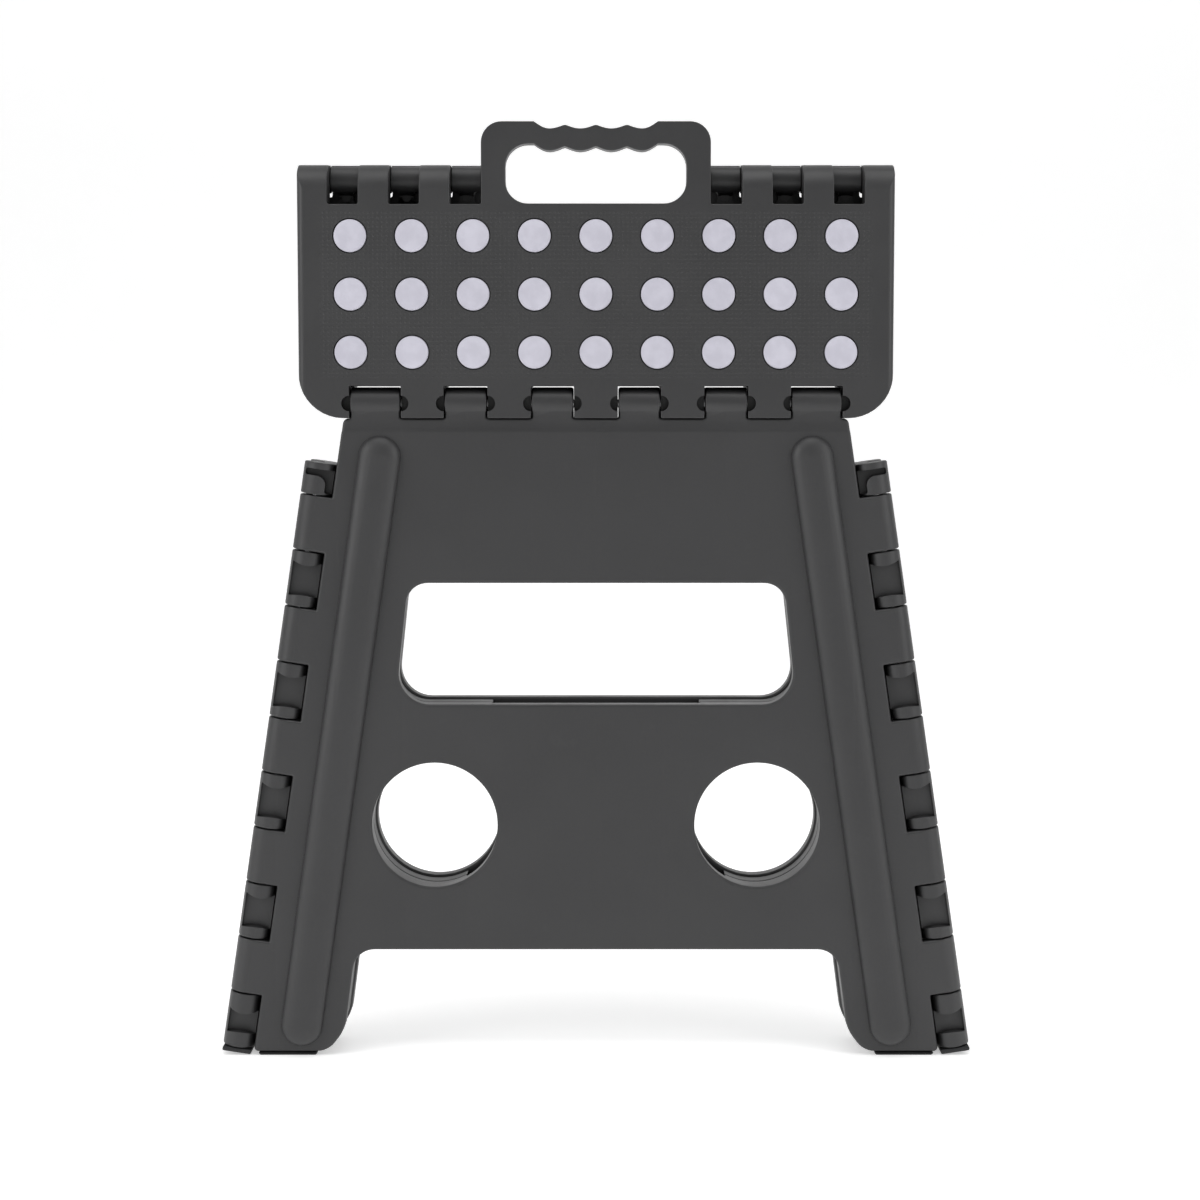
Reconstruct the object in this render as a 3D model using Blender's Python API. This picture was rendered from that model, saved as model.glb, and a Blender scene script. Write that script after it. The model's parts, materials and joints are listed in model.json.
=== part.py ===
"""Folding step stool, modelled folded flat and standing on its feet.

X runs across the stool, Y through its thickness (the front is at -Y) and Z up.
The front and the rear of the stool are near mirror images of each other: a place is
given by x, by its depth (its distance from the middle plane Y = 0) and by z.

The stool is four slabs and four folding side halves. Two legs stand face to face. A
top half is hinged to the head of each leg, and the two top halves meet in the centre
hinge. On each side two halves fold inward between the legs about slanted hinges.
"""

import math

import bmesh
import bpy
from mathutils import Matrix, Vector

# ---- Driving dimensions, in metres -------------------------------------------------

GAP = 0.0003  # between two pieces that touch
HINGE_PLAY = 0.0008  # between neighbouring knuckles
PLANE_PLAY = 0.0005  # from the middle plane to what folds against it

TOP_HALF_WIDTH = 0.145
TOP_EDGE_BELOW_HINGE = 0.0072
TOP_CORNER = 0.022
FACE_DEPTH = 0.020  # the outer faces of legs and tops

LEG_HINGE_Z = 0.3238
HINGE_DEPTH = 0.012  # leg hinge and side hinges, from the middle plane
FOLD_LENGTH = 0.109  # leg hinge to centre hinge, and side hinge to side centre hinge
LEG_KNUCKLE_RADIUS = 0.008
LEG_KNUCKLES = ((0.0112, 0.0312), (0.0534, 0.0737), (0.0956, 0.1198))
KNUCKLE_CLEARANCE = 0.0005

CENTRE_KNUCKLE_RADIUS = 0.007
CENTRE_KNUCKLES_PER_SIDE = 6
CENTRE_NOTCH_DEPTH = 0.0128  # floor of a notch, below the centre hinge

HANDLE_HALF_WIDTH = 0.0556
HANDLE_ABOVE_HINGE = 0.0268
HANDLE_THICKNESS = 0.010
HANDLE_CORNER = 0.010
GRIP_HALF_WIDTH = 0.0439
GRIP_BELOW_HINGE = 0.0125
GRIP_ABOVE_HINGE = 0.0161
GRIP_CORNER = 0.011
FINGER_PITCH = 0.015
FINGER_DEPTH = 0.0030
FINGERS = 4

DOT_RADIUS = 0.00805
DOT_PITCH = 0.0298
DOT_COLUMNS = 9
DOT_ROW_PITCH = 0.0281
DOT_ROWS = 3
DOT_TOP_ROW_BELOW_HINGE = 0.0280
DOT_PROUD = 0.0005
DOT_DEPTH = 0.0028
RUNNER_WIDTH = 0.004
RUNNER_THICKNESS = 0.001
RUNNER_STEP = 0.0002  # between the planes of dots, row runners and column runners
SKIN_OF_TOP = 0.0042

LEG_THICKNESS = 0.009
LEG_SKIN = 0.003
POCKET_WIDTH = 0.023
POCKET_LEVELS = (0.063, 0.122, 0.181, 0.241, 0.303)  # along the slanted hinge
LEG_FOOT_INNER = 0.1402
LEG_FOOT_OUTER = 0.1724
FOOT_HEIGHT = 0.0016
ARCH_HEIGHT = 0.0534
ARCH_HALF_WIDTH = 0.1196
ARCH_CORNER = 0.011
TOE_UPPER = (0.1250, 0.0130, 0.020)  # x, z and radius of the toe's upper corner
TOE_LOWER = (0.1335, 0.0115)  # x and radius of the corner at the sole

SLOT_TOP = 0.236
SLOT_BOTTOM = 0.176
SLOT_TOP_HALF_WIDTH = 0.0923
SLOT_BOTTOM_HALF_WIDTH = 0.0988
SLOT_TOP_CORNER = 0.011
SLOT_BOTTOM_CORNER = 0.0155
HOLE_X = 0.0797
HOLE_Z = 0.116
HOLE_RADIUS = 0.031

BULGE_TOP = (0.1056, 0.2975)  # x and z of the upper end's centre
BULGE_BOTTOM = (0.1464, 0.0155)
BULGE_RADIUS = 0.01035
BULGE_PROUD = 0.0055

SIDE_SLANT = math.atan(0.1507)
SIDE_HINGE_X_AT_FLOOR = 0.1795
SIDE_HINGE_RADIUS = 0.008
SIDE_TOP = 0.2984  # along the slanted hinge, from its foot
SIDE_FIRST_JOINT = 0.0316
SIDE_JOINT_PITCH = 0.02785
SIDE_JOINTS = 10
SIDE_FOOT = (0.0013, 0.0036)
SIDE_SOLE = 0.004  # lowest z of a folded side half, from the toe to its foot
SIDE_SOLE_END = 0.168
SIDE_THICKNESS = 0.010
SIDE_SKIN = 0.003
SIDE_CENTRE_RADIUS = 0.0072
SIDE_CENTRE_SETBACK = 0.0085  # from the side centre hinge to the edge that clears it
SIDE_CENTRE_GROUPS = ((0.0770, 0.1010), (0.1620, 0.1890), (0.2605, 0.2965))
SIDE_CENTRE_KNUCKLES = 4
WINDOW_MARGIN = 0.0010  # the side halves stay this far outside the legs' openings
CHEEK = 0.0055
KNUCKLE_WALL = 0.003
WINDOW_DEPTH = 0.005

BARREL_INSET = 0.0001  # a barrel lies this far inside the slab that it thickens
PIN_RADIUS = 0.002
PIN_HOLE_RADIUS = PIN_RADIUS + GAP
PIN_SIDES = 8
ROUND_SIDES = 12
DOT_SIDES = 10
HOLE_SIDES = 24
ARC_STEP = math.radians(23)
RIB = 0.003
BEYOND = 0.004  # how far a cutter runs past what it cuts

CENTRE_HINGE_Z = LEG_HINGE_Z + FOLD_LENGTH
LEG_TOP = LEG_HINGE_Z - LEG_KNUCKLE_RADIUS - GAP
LEG_INNER_DEPTH = FACE_DEPTH - LEG_THICKNESS
SIDE_OUTER_DEPTH = LEG_INNER_DEPTH - PLANE_PLAY
SIDE_INNER_DEPTH = SIDE_OUTER_DEPTH - SIDE_THICKNESS
HINGE_SETBACK = SIDE_HINGE_RADIUS + PLANE_PLAY
LEG_BARREL = LEG_KNUCKLE_RADIUS - BARREL_INSET
SIDE_BARREL = SIDE_HINGE_RADIUS - BARREL_INSET

for old in list(bpy.data.objects):
    bpy.data.objects.remove(old, do_unlink=True)
PARTS = bpy.data.collections.new("step_stool")
CUTTERS = bpy.data.collections.new("cutters")
bpy.context.scene.collection.children.link(PARTS)
bpy.context.scene.collection.children.link(CUTTERS)


# ---- Materials ----------------------------------------------------------------------


def finish(name, colour, roughness, metallic=0.0):
    material = bpy.data.materials.new(name)
    material.use_nodes = True
    shader = material.node_tree.nodes["Principled BSDF"]
    shader.inputs["Base Color"].default_value = (*colour, 1.0)
    shader.inputs["Roughness"].default_value = roughness
    shader.inputs["Metallic"].default_value = metallic
    return material


GREY_PLASTIC = finish("dark_grey_plastic", (0.058, 0.058, 0.060), 0.48)
PALE_RUBBER = finish("pale_dot_rubber", (0.54, 0.53, 0.60), 0.62)
BLACK_RUBBER = finish("black_foot_rubber", (0.012, 0.012, 0.013), 0.70)
PIN_STEEL = finish("hinge_pin_steel", (0.50, 0.50, 0.51), 0.35, 1.0)


# ---- Flat outlines ------------------------------------------------------------------


def rounded(corners):
    """The points of a polygon whose corners are (x, z, radius)."""
    points = []
    for index, (x, z, radius) in enumerate(corners):
        corner = Vector((x, z))
        before = Vector(corners[index - 1][:2]) - corner
        after = Vector(corners[(index + 1) % len(corners)][:2]) - corner
        turn = math.pi - before.angle(after)
        if radius <= 0 or turn < math.radians(2):
            points.append((x, z))
            continue
        reach = radius * math.tan(turn / 2)
        start, end = corner + before.normalized() * reach, corner + after.normalized() * reach
        inward = (before.normalized() + after.normalized()).normalized()
        centre = corner + inward * math.hypot(reach, radius)
        steps = max(2, math.ceil(turn / ARC_STEP))
        first, last = start - centre, end - centre
        sweep = first.angle_signed(last)
        for step in range(steps + 1):
            angle = -sweep * step / steps
            arm = Vector(
                (
                    first.x * math.cos(angle) - first.y * math.sin(angle),
                    first.x * math.sin(angle) + first.y * math.cos(angle),
                )
            )
            points.append(tuple(centre + arm))
    return points


def both_sides(right_half):
    """A whole outline from its right half, whose corners run from the top down."""
    return list(right_half) + [(-x, z, radius) for x, z, radius in reversed(right_half)]


def circle(x, z, radius, sides=ROUND_SIDES):
    turns = [2 * math.pi * step / sides for step in range(sides)]
    return [(x + radius * math.cos(turn), z + radius * math.sin(turn)) for turn in turns]


def rectangle(x_from, x_to, z_from, z_to):
    return [(x_from, z_from), (x_to, z_from), (x_to, z_to), (x_from, z_to)]


def beside_hinge(side, across, along):
    """x and z of a place on a folded side half: across from its hinge, and up along it."""
    x = SIDE_HINGE_X_AT_FLOOR - along * math.sin(SIDE_SLANT) - across * math.cos(SIDE_SLANT)
    return side * x, along * math.cos(SIDE_SLANT) - across * math.sin(SIDE_SLANT)


# ---- Solids as meshes in world coordinates ------------------------------------------


def slab(outlines, depth_from, depth_to, facing):
    """A flat outline with its holes, between two depths; facing is -1 at the front."""
    curve = bpy.data.curves.new("outline", "CURVE")
    curve.dimensions = "2D"
    curve.fill_mode = "BOTH"
    curve.extrude = abs(depth_to - depth_from) / 2
    for outline in outlines:
        spline = curve.splines.new("POLY")
        spline.points.add(len(outline) - 1)
        spline.use_cyclic_u = True
        for point, (x, z) in zip(spline.points, outline):
            point.co = (x, z, 0, 1)
    holder = bpy.data.objects.new("outline", curve)
    holder.rotation_euler = (math.pi / 2, 0, 0)
    holder.location = (0, facing * (depth_from + depth_to) / 2, 0)
    bpy.context.scene.collection.objects.link(holder)
    bpy.context.view_layer.update()
    evaluated = holder.evaluated_get(bpy.context.evaluated_depsgraph_get())
    mesh = bpy.data.meshes.new_from_object(evaluated)
    mesh.transform(holder.matrix_world)
    bpy.data.objects.remove(holder)
    return tidy(mesh)


def tidy(mesh):
    shape = bmesh.new()
    shape.from_mesh(mesh)
    bmesh.ops.remove_doubles(shape, verts=shape.verts, dist=1e-6)
    bmesh.ops.recalc_face_normals(shape, faces=shape.faces)
    shape.to_mesh(mesh)
    shape.free()
    return mesh


def rod(start, end, radius, sides=ROUND_SIDES):
    """A cylinder between two points."""
    start, end = Vector(start), Vector(end)
    shape = bmesh.new()
    bmesh.ops.create_cone(
        shape,
        cap_ends=True,
        segments=sides,
        radius1=radius,
        radius2=radius,
        depth=(end - start).length,
    )
    turn = Vector((0, 0, 1)).rotation_difference(end - start).to_matrix().to_4x4()
    bmesh.ops.transform(
        shape, matrix=Matrix.Translation((start + end) / 2) @ turn, verts=shape.verts
    )
    mesh = bpy.data.meshes.new("rod")
    shape.to_mesh(mesh)
    shape.free()
    return mesh


def along_x(x_from, x_to, depth, z, radius, facing, sides=ROUND_SIDES):
    return rod((x_from, facing * depth, z), (x_to, facing * depth, z), radius, sides)


def along_slant(side, across, depth, low, high, radius, facing, sides=ROUND_SIDES):
    ends = []
    for height in (low, high):
        x, z = beside_hinge(side, across, height)
        ends.append((x, facing * depth, z))
    return rod(ends[0], ends[1], radius, sides)


def through_y(x, z, depth_from, depth_to, radius, facing, sides=ROUND_SIDES):
    return rod((x, facing * depth_from, z), (x, facing * depth_to, z), radius, sides)


def bar_along_x(profile, half_length, facing):
    """A bar across the stool whose section is points of depth and z."""
    bar = slab([profile], -half_length, half_length, 1)
    turn = Matrix(((0, 1, 0, 0), (facing, 0, 0, 0), (0, 0, 1, 0), (0, 0, 0, 1)))
    bar.transform(turn)
    return tidy(bar)


def long_dome(start, end, radius, height, facing):
    """A flattened capsule on the outer face: the hull of a flattened ball at each end."""
    shape = bmesh.new()
    for x, z in (start, end):
        place = Matrix.Translation((x, facing * FACE_DEPTH, z))
        flatten = Matrix.Diagonal((radius, height, radius, 1))
        bmesh.ops.create_uvsphere(
            shape, u_segments=12, v_segments=6, radius=1, matrix=place @ flatten
        )
    bmesh.ops.delete(shape, geom=shape.edges[:], context="EDGES_FACES")
    hull = bmesh.ops.convex_hull(shape, input=shape.verts)
    spare = {item for item in hull["geom_interior"] if isinstance(item, bmesh.types.BMVert)}
    bmesh.ops.delete(shape, geom=list(spare), context="VERTS")
    mesh = bpy.data.meshes.new("dome")
    shape.to_mesh(mesh)
    shape.free()
    return tidy(mesh)


# ---- Objects and Booleans -------------------------------------------------------------


def gather(name, meshes, collection):
    """One object from meshes that stand clear of each other."""
    shape = bmesh.new()
    for mesh in meshes:
        shape.from_mesh(mesh)
        bpy.data.meshes.remove(mesh)
    joined = bpy.data.meshes.new(name)
    shape.to_mesh(joined)
    shape.free()
    made = bpy.data.objects.new(name, joined)
    collection.objects.link(made)
    return made


def combine(piece, operation, label, meshes):
    tool = gather(f"{piece.name}_{label}", meshes, CUTTERS)
    tool.hide_render = True
    tool.display_type = "WIRE"
    step = piece.modifiers.new(label, "BOOLEAN")
    step.operation = operation
    step.solver = "MANIFOLD"
    step.object = tool


def add(piece, label, meshes):
    combine(piece, "UNION", label, meshes)


def cut(piece, label, meshes):
    combine(piece, "DIFFERENCE", label, meshes)


def settle(piece, material, pivot):
    """Gives a finished piece its material and its parent empty."""
    piece.data.materials.clear()
    piece.data.materials.append(material)
    piece.data.shade_smooth()
    piece.data.set_sharp_from_angle(angle=math.radians(32))
    piece.parent = pivot
    piece.matrix_parent_inverse = pivot.matrix_world.inverted()


def empty_at(name, place):
    empty = bpy.data.objects.new(name, None)
    empty.location = place
    empty.empty_display_size = 0.02
    PARTS.objects.link(empty)
    bpy.context.view_layer.update()
    return empty


# ---- Which stretch of each hinge belongs to which piece ----------------------------------


def centre_knuckles(facing):
    """The x ranges, on the right, of one top half's centre knuckles."""
    inner = HANDLE_HALF_WIDTH + KNUCKLE_CLEARANCE
    pitch = (TOP_HALF_WIDTH - inner) / CENTRE_KNUCKLES_PER_SIDE
    ranges = []
    for index in range(CENTRE_KNUCKLES_PER_SIDE):
        outer = TOP_HALF_WIDTH - index * pitch
        on_front = index % 2 == 0
        if on_front == (facing < 0):
            play = 0 if index == 0 else HINGE_PLAY / 2
            ranges.append((outer - pitch + HINGE_PLAY / 2, outer - play))
    return ranges


def side_hinge_ranges(of_leg):
    """The stretches of a slanted side hinge that the leg, or the side half, holds."""
    joints = [SIDE_FIRST_JOINT + SIDE_JOINT_PITCH * index for index in range(SIDE_JOINTS)]
    ends = [SIDE_FOOT[1] + GAP - HINGE_PLAY / 2] + joints + [SIDE_TOP + HINGE_PLAY / 2]
    first = 1 if of_leg else 0
    return [
        (ends[index] + HINGE_PLAY / 2, ends[index + 1] - HINGE_PLAY / 2)
        for index in range(first, len(ends) - 1, 2)
    ]


def side_centre_ranges(facing):
    """The stretches of a side's centre hinge that this half holds."""
    ranges = []
    for low, high in SIDE_CENTRE_GROUPS:
        pitch = (high - low) / SIDE_CENTRE_KNUCKLES
        for index in range(SIDE_CENTRE_KNUCKLES):
            if (index % 2 == 0) == (facing < 0):
                base = low + index * pitch
                ranges.append((base + HINGE_PLAY / 2, base + pitch - HINGE_PLAY / 2))
    return ranges


# ---- The top halves -----------------------------------------------------------------


def finger_wave(x):
    """How deep the finger grip dips at x, from 0 between fingers to FINGER_DEPTH."""
    reach = FINGERS * FINGER_PITCH / 2
    if abs(x) >= reach:
        return 0.0
    return FINGER_DEPTH * math.sin(math.pi * (x + reach) / FINGER_PITCH) ** 2


def wave_points(z, direction, scale):
    """Points over the four fingers, from left to right, dipping down from z."""
    reach = FINGERS * FINGER_PITCH / 2
    steps = FINGERS * 4
    xs = [-reach + 2 * reach * step / steps for step in range(steps + 1)]
    points = [(x, z - scale * finger_wave(x), 0) for x in xs]
    return points if direction > 0 else points[::-1]


def top_outline(facing):
    floor = CENTRE_HINGE_Z - CENTRE_NOTCH_DEPTH
    crown = CENTRE_HINGE_Z + CENTRE_KNUCKLE_RADIUS
    right = []
    for inner, outer in reversed(centre_knuckles(facing)):
        if inner > HANDLE_HALF_WIDTH + HINGE_PLAY or facing > 0:
            right.append((inner, floor, 0))
        right.append((inner, crown, 0.0015))
        right.append((outer, crown, 0.0015))
        if outer < TOP_HALF_WIDTH - GAP:
            right.append((outer, floor, 0))
    if facing > 0:
        right.append((TOP_HALF_WIDTH, floor, 0))
    bottom = LEG_HINGE_Z - TOP_EDGE_BELOW_HINGE
    right.append((TOP_HALF_WIDTH, bottom, TOP_CORNER))
    notch_top = LEG_HINGE_Z + LEG_KNUCKLE_RADIUS + KNUCKLE_CLEARANCE
    for inner, outer in reversed(LEG_KNUCKLES):
        inner, outer = inner - KNUCKLE_CLEARANCE, outer + KNUCKLE_CLEARANCE
        right += [(outer, bottom, 0), (outer, notch_top, 0)]
        right += [(inner, notch_top, 0), (inner, bottom, 0)]
    left = [(-x, z, radius) for x, z, radius in reversed(right)]
    if facing < 0:
        top = CENTRE_HINGE_Z + HANDLE_ABOVE_HINGE
        foot = [(HANDLE_HALF_WIDTH, floor, 0)]
        head = [(HANDLE_HALF_WIDTH, top, HANDLE_CORNER)]
        mirrored_head = [(-x, z, radius) for x, z, radius in head]
        mirrored_foot = [(-x, z, radius) for x, z, radius in foot]
        middle = mirrored_foot + mirrored_head + wave_points(top, 1, 1) + head + foot
    else:
        width = HANDLE_HALF_WIDTH + KNUCKLE_CLEARANCE
        well = CENTRE_HINGE_Z - HANDLE_ABOVE_HINGE - HINGE_PLAY - KNUCKLE_CLEARANCE
        middle = [(-width, well, 0.004), (width, well, 0.004)]
        right = [(width, crown, 0.0015)] + right[2:]
        left = left[:-2] + [(-width, crown, 0.0015)]
    return rounded(middle + right + left)


def grip_outline():
    low = CENTRE_HINGE_Z - GRIP_BELOW_HINGE
    high = CENTRE_HINGE_Z + GRIP_ABOVE_HINGE
    corners = [(-GRIP_HALF_WIDTH, low, GRIP_CORNER), (GRIP_HALF_WIDTH, low, GRIP_CORNER)]
    corners += [(GRIP_HALF_WIDTH, high, GRIP_CORNER)]
    corners += wave_points(high, -1, 1.4)
    corners += [(-GRIP_HALF_WIDTH, high, GRIP_CORNER)]
    return rounded(corners)


def under_rim_profile():
    """What is cut away behind the lower edge, so that the leg can swing there."""
    clear = LEG_KNUCKLE_RADIUS - GAP
    low = LEG_HINGE_Z - 2 * LEG_KNUCKLE_RADIUS
    step_z = LEG_HINGE_Z + LEG_THICKNESS - LEG_KNUCKLE_RADIUS + HINGE_PLAY
    points = [(-BEYOND, low), (-BEYOND, step_z), (HINGE_DEPTH - clear, step_z)]
    steps = 6
    for index in range(steps + 1):
        angle = math.pi / 2 * index / steps
        depth = HINGE_DEPTH - clear * math.cos(angle)
        points.append((depth, LEG_HINGE_Z - clear * math.sin(angle)))
    points.append((HINGE_DEPTH, low))
    return points


def crown_profile():
    """What is cut away from the outer face's top edge, so that it rolls over."""
    radius = FACE_DEPTH - CENTRE_KNUCKLE_RADIUS
    crown = CENTRE_HINGE_Z + CENTRE_KNUCKLE_RADIUS
    steps = 6
    points = []
    for index in range(steps + 1):
        angle = math.pi / 2 * index / steps
        depth = FACE_DEPTH - radius + radius * math.sin(angle)
        points.append((depth, crown - radius + radius * math.cos(angle)))
    outside = FACE_DEPTH + BEYOND
    return points + [(outside, crown - radius), (outside, crown + BEYOND), (points[0][0], crown + BEYOND)]


def dot_places(facing):
    """x and z of each anti-slip dot; the rear half has none where the handle folds in."""
    places = []
    for row in range(DOT_ROWS):
        z = CENTRE_HINGE_Z - DOT_TOP_ROW_BELOW_HINGE - row * DOT_ROW_PITCH
        for column in range(DOT_COLUMNS):
            x = (column - (DOT_COLUMNS - 1) / 2) * DOT_PITCH
            near_well = z + DOT_RADIUS > CENTRE_HINGE_Z - HANDLE_ABOVE_HINGE - DOT_RADIUS
            in_well = near_well and abs(x) < HANDLE_HALF_WIDTH + DOT_RADIUS + RIB
            if facing < 0 or not in_well:
                places.append((x, z))
    return places


def dot_shapes(facing, growth, below):
    """The dots, their row runners and their two column runners, each grown by growth."""
    places = dot_places(facing)
    face = FACE_DEPTH + (DOT_PROUD if not below else BEYOND)
    back = FACE_DEPTH - DOT_DEPTH - growth
    dots = [through_y(x, z, back, face, DOT_RADIUS + growth, facing, DOT_SIDES) for x, z in places]
    half = RUNNER_WIDTH / 2 + growth
    low, high = back + RUNNER_STEP, back + RUNNER_STEP + RUNNER_THICKNESS + 2 * growth
    row_depths = (low, high)
    column_depths = (low + RUNNER_STEP, high + RUNNER_STEP)
    rows = []
    for z in sorted({place[1] for place in places}):
        xs = sorted(x for x, row in places if row == z)
        whole = len(xs) == DOT_COLUMNS
        for stretch in [xs] if whole else [[x for x in xs if x < 0], [x for x in xs if x > 0]]:
            outline = rectangle(stretch[0] - growth, stretch[-1] + growth, z - half, z + half)
            rows.append(slab([outline], *row_depths, facing))
    zs = [place[1] for place in places]
    columns = []
    for side in (-1, 1):
        x = side * 3 * DOT_PITCH
        outline = rectangle(x - half, x + half, min(zs) - growth, max(zs) + growth)
        columns.append(slab([outline], *column_depths, facing))
    return dots, rows, columns


def top_pockets(facing):
    """The hollows between the ribs under the top's skin."""
    low = LEG_HINGE_Z + LEG_KNUCKLE_RADIUS + KNUCKLE_CLEARANCE + RIB
    shelf = CENTRE_HINGE_Z - HANDLE_ABOVE_HINGE - HINGE_PLAY - KNUCKLE_CLEARANCE - RIB
    high = CENTRE_HINGE_Z - CENTRE_NOTCH_DEPTH - RIB
    middle = (low + shelf) / 2
    edge = TOP_HALF_WIDTH - RIB
    across = 6
    pitch = 2 * edge / across
    pockets = []
    for index in range(across):
        left, right = -edge + index * pitch + RIB / 2, -edge + (index + 1) * pitch - RIB / 2
        behind_well = facing > 0 and min(abs(left), abs(right)) < HANDLE_HALF_WIDTH + RIB
        ceiling = shelf if behind_well else high
        for bottom, top in ((low, middle - RIB / 2), (middle + RIB / 2, ceiling)):
            outline = rectangle(left, right, bottom, top)
            pockets.append(slab([outline], -BEYOND, FACE_DEPTH - SKIN_OF_TOP, facing))
    return pockets


def build_top(name, facing, pivot):
    loops = [top_outline(facing)] + ([grip_outline()] if facing < 0 else [])
    panel = gather(name, [slab(loops, PLANE_PLAY, FACE_DEPTH, facing)], PARTS)
    reach = TOP_HALF_WIDTH + BEYOND
    cut(panel, "under_rim", [bar_along_x(under_rim_profile(), reach, facing)])
    if facing < 0:
        crown = [crown_half(side, facing) for side in (-1, 1)]
        outline = rectangle(
            -HANDLE_HALF_WIDTH - GAP,
            HANDLE_HALF_WIDTH + GAP,
            CENTRE_HINGE_Z - CENTRE_NOTCH_DEPTH,
            CENTRE_HINGE_Z + HANDLE_ABOVE_HINGE + BEYOND,
        )
        back = slab([outline], -BEYOND, FACE_DEPTH - HANDLE_THICKNESS, facing)
        cut(panel, "behind_handle", [back])
    else:
        crown = [bar_along_x(crown_profile(), reach, facing)]
    cut(panel, "crown", crown)
    barrels = []
    for inner, outer in centre_knuckles(facing):
        for side in (-1, 1):
            barrels.append(
                along_x(side * inner, side * outer, 0, CENTRE_HINGE_Z, CENTRE_KNUCKLE_RADIUS, facing)
            )
    add(panel, "barrels", barrels)
    cut(panel, "pockets", top_pockets(facing))
    dots, rows, columns = dot_shapes(facing, GAP, True)
    cut(panel, "dot_holes", dots)
    cut(panel, "row_grooves", rows)
    cut(panel, "column_grooves", columns)
    inner_end, outer_end = HANDLE_HALF_WIDTH - GAP, TOP_HALF_WIDTH - RIB + GAP
    holes = [
        along_x(side * inner_end, side * outer_end, 0, CENTRE_HINGE_Z, PIN_HOLE_RADIUS, facing, PIN_SIDES)
        for side in (-1, 1)
    ]
    cut(panel, "centre_pin_holes", holes)
    cut(panel, "leg_pin_hole", [leg_pin(facing, PIN_HOLE_RADIUS)])
    settle(panel, GREY_PLASTIC, pivot)

    dots, rows, columns = dot_shapes(facing, 0, False)
    inlay = gather(name.replace("half", "dot_inlay"), columns, PARTS)
    add(inlay, "rows", rows)
    add(inlay, "dots", dots)
    settle(inlay, PALE_RUBBER, pivot)


def crown_half(side, facing):
    """The crown cutter beside the handle, on one side of it."""
    inner = HANDLE_HALF_WIDTH + GAP
    half_length = (TOP_HALF_WIDTH + BEYOND - inner) / 2
    bar = bar_along_x(crown_profile(), half_length, facing)
    bar.transform(Matrix.Translation((side * (inner + half_length), 0, 0)))
    return bar


# ---- The legs -----------------------------------------------------------------------


def leg_edge():
    """The right edge's corners, from the top down: out to the hinge, or set back from it."""
    corners = []
    for low, high in reversed(side_hinge_ranges(of_leg=True)):
        for along, across in ((high, HINGE_SETBACK), (high, 0), (low, 0), (low, HINGE_SETBACK)):
            x, z = beside_hinge(1, across, along)
            corners.append((x, z, 0))
    return corners


def leg_outline():
    right = []
    for inner, outer in LEG_KNUCKLES:
        right += [(inner, LEG_TOP, 0), (inner, LEG_HINGE_Z, 0)]
        right += [(outer, LEG_HINGE_Z, 0), (outer, LEG_TOP, 0)]
    shoulder = LEG_TOP / math.cos(SIDE_SLANT) + HINGE_SETBACK * math.tan(SIDE_SLANT)
    right.append((beside_hinge(1, HINGE_SETBACK, shoulder)[0], LEG_TOP, 0.003))
    right += leg_edge()
    sole = FOOT_HEIGHT + GAP
    ankle = sole / math.cos(SIDE_SLANT) + HINGE_SETBACK * math.tan(SIDE_SLANT)
    right.append((beside_hinge(1, HINGE_SETBACK, ankle)[0], sole, 0.002))
    right.append((TOE_LOWER[0], sole, TOE_LOWER[1]))
    right += [TOE_UPPER, (ARCH_HALF_WIDTH, ARCH_HEIGHT, ARCH_CORNER)]
    return rounded(both_sides(right))


def slot_outline(margin=0.0):
    """The hand slot; a margin widens it all round."""
    top, bottom = SLOT_TOP + margin, SLOT_BOTTOM - margin
    upper, lower = SLOT_TOP_HALF_WIDTH + margin, SLOT_BOTTOM_HALF_WIDTH + margin
    return rounded(
        both_sides(
            [(upper, top, SLOT_TOP_CORNER + margin), (lower, bottom, SLOT_BOTTOM_CORNER + margin)]
        )
    )


def slanted_pockets(side, levels):
    """Outlines of a column of pockets beside a slanted hinge, with a rib between them."""
    outlines = []
    inner, outer = HINGE_SETBACK + 1.5 * RIB, HINGE_SETBACK + 1.5 * RIB + POCKET_WIDTH
    for low, high in zip(levels, levels[1:]):
        top = high - RIB
        corners = [(inner, low), (outer, low), (outer, top), (inner, top)]
        outlines.append([beside_hinge(side, across, along) for across, along in corners])
    return outlines


def leg_pockets(facing):
    """The hollows between the ribs on the leg's inner face."""
    upper = (SLOT_TOP + 2 * RIB, LEG_TOP - 2 * RIB)
    lower = (ARCH_HEIGHT + 2 * RIB, SLOT_BOTTOM - 2 * RIB)
    bulge_inner = BULGE_TOP[0] - BULGE_RADIUS
    waist = HOLE_X - HOLE_RADIUS - 2 * RIB
    columns = 3
    pitch = bulge_inner / columns
    outlines = []
    for side in (-1, 1):
        for index in range(columns):
            xs = sorted((side * (index * pitch + RIB / 2), side * ((index + 1) * pitch - RIB / 2)))
            outlines.append(rectangle(xs[0], xs[1], *upper))
        xs = sorted((side * RIB / 2, side * waist))
        outlines.append(rectangle(xs[0], xs[1], *lower))
        outlines += slanted_pockets(side, POCKET_LEVELS)
    depths = (LEG_INNER_DEPTH - BEYOND, FACE_DEPTH - LEG_SKIN)
    return [slab([outline], *depths, facing) for outline in outlines]


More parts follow.
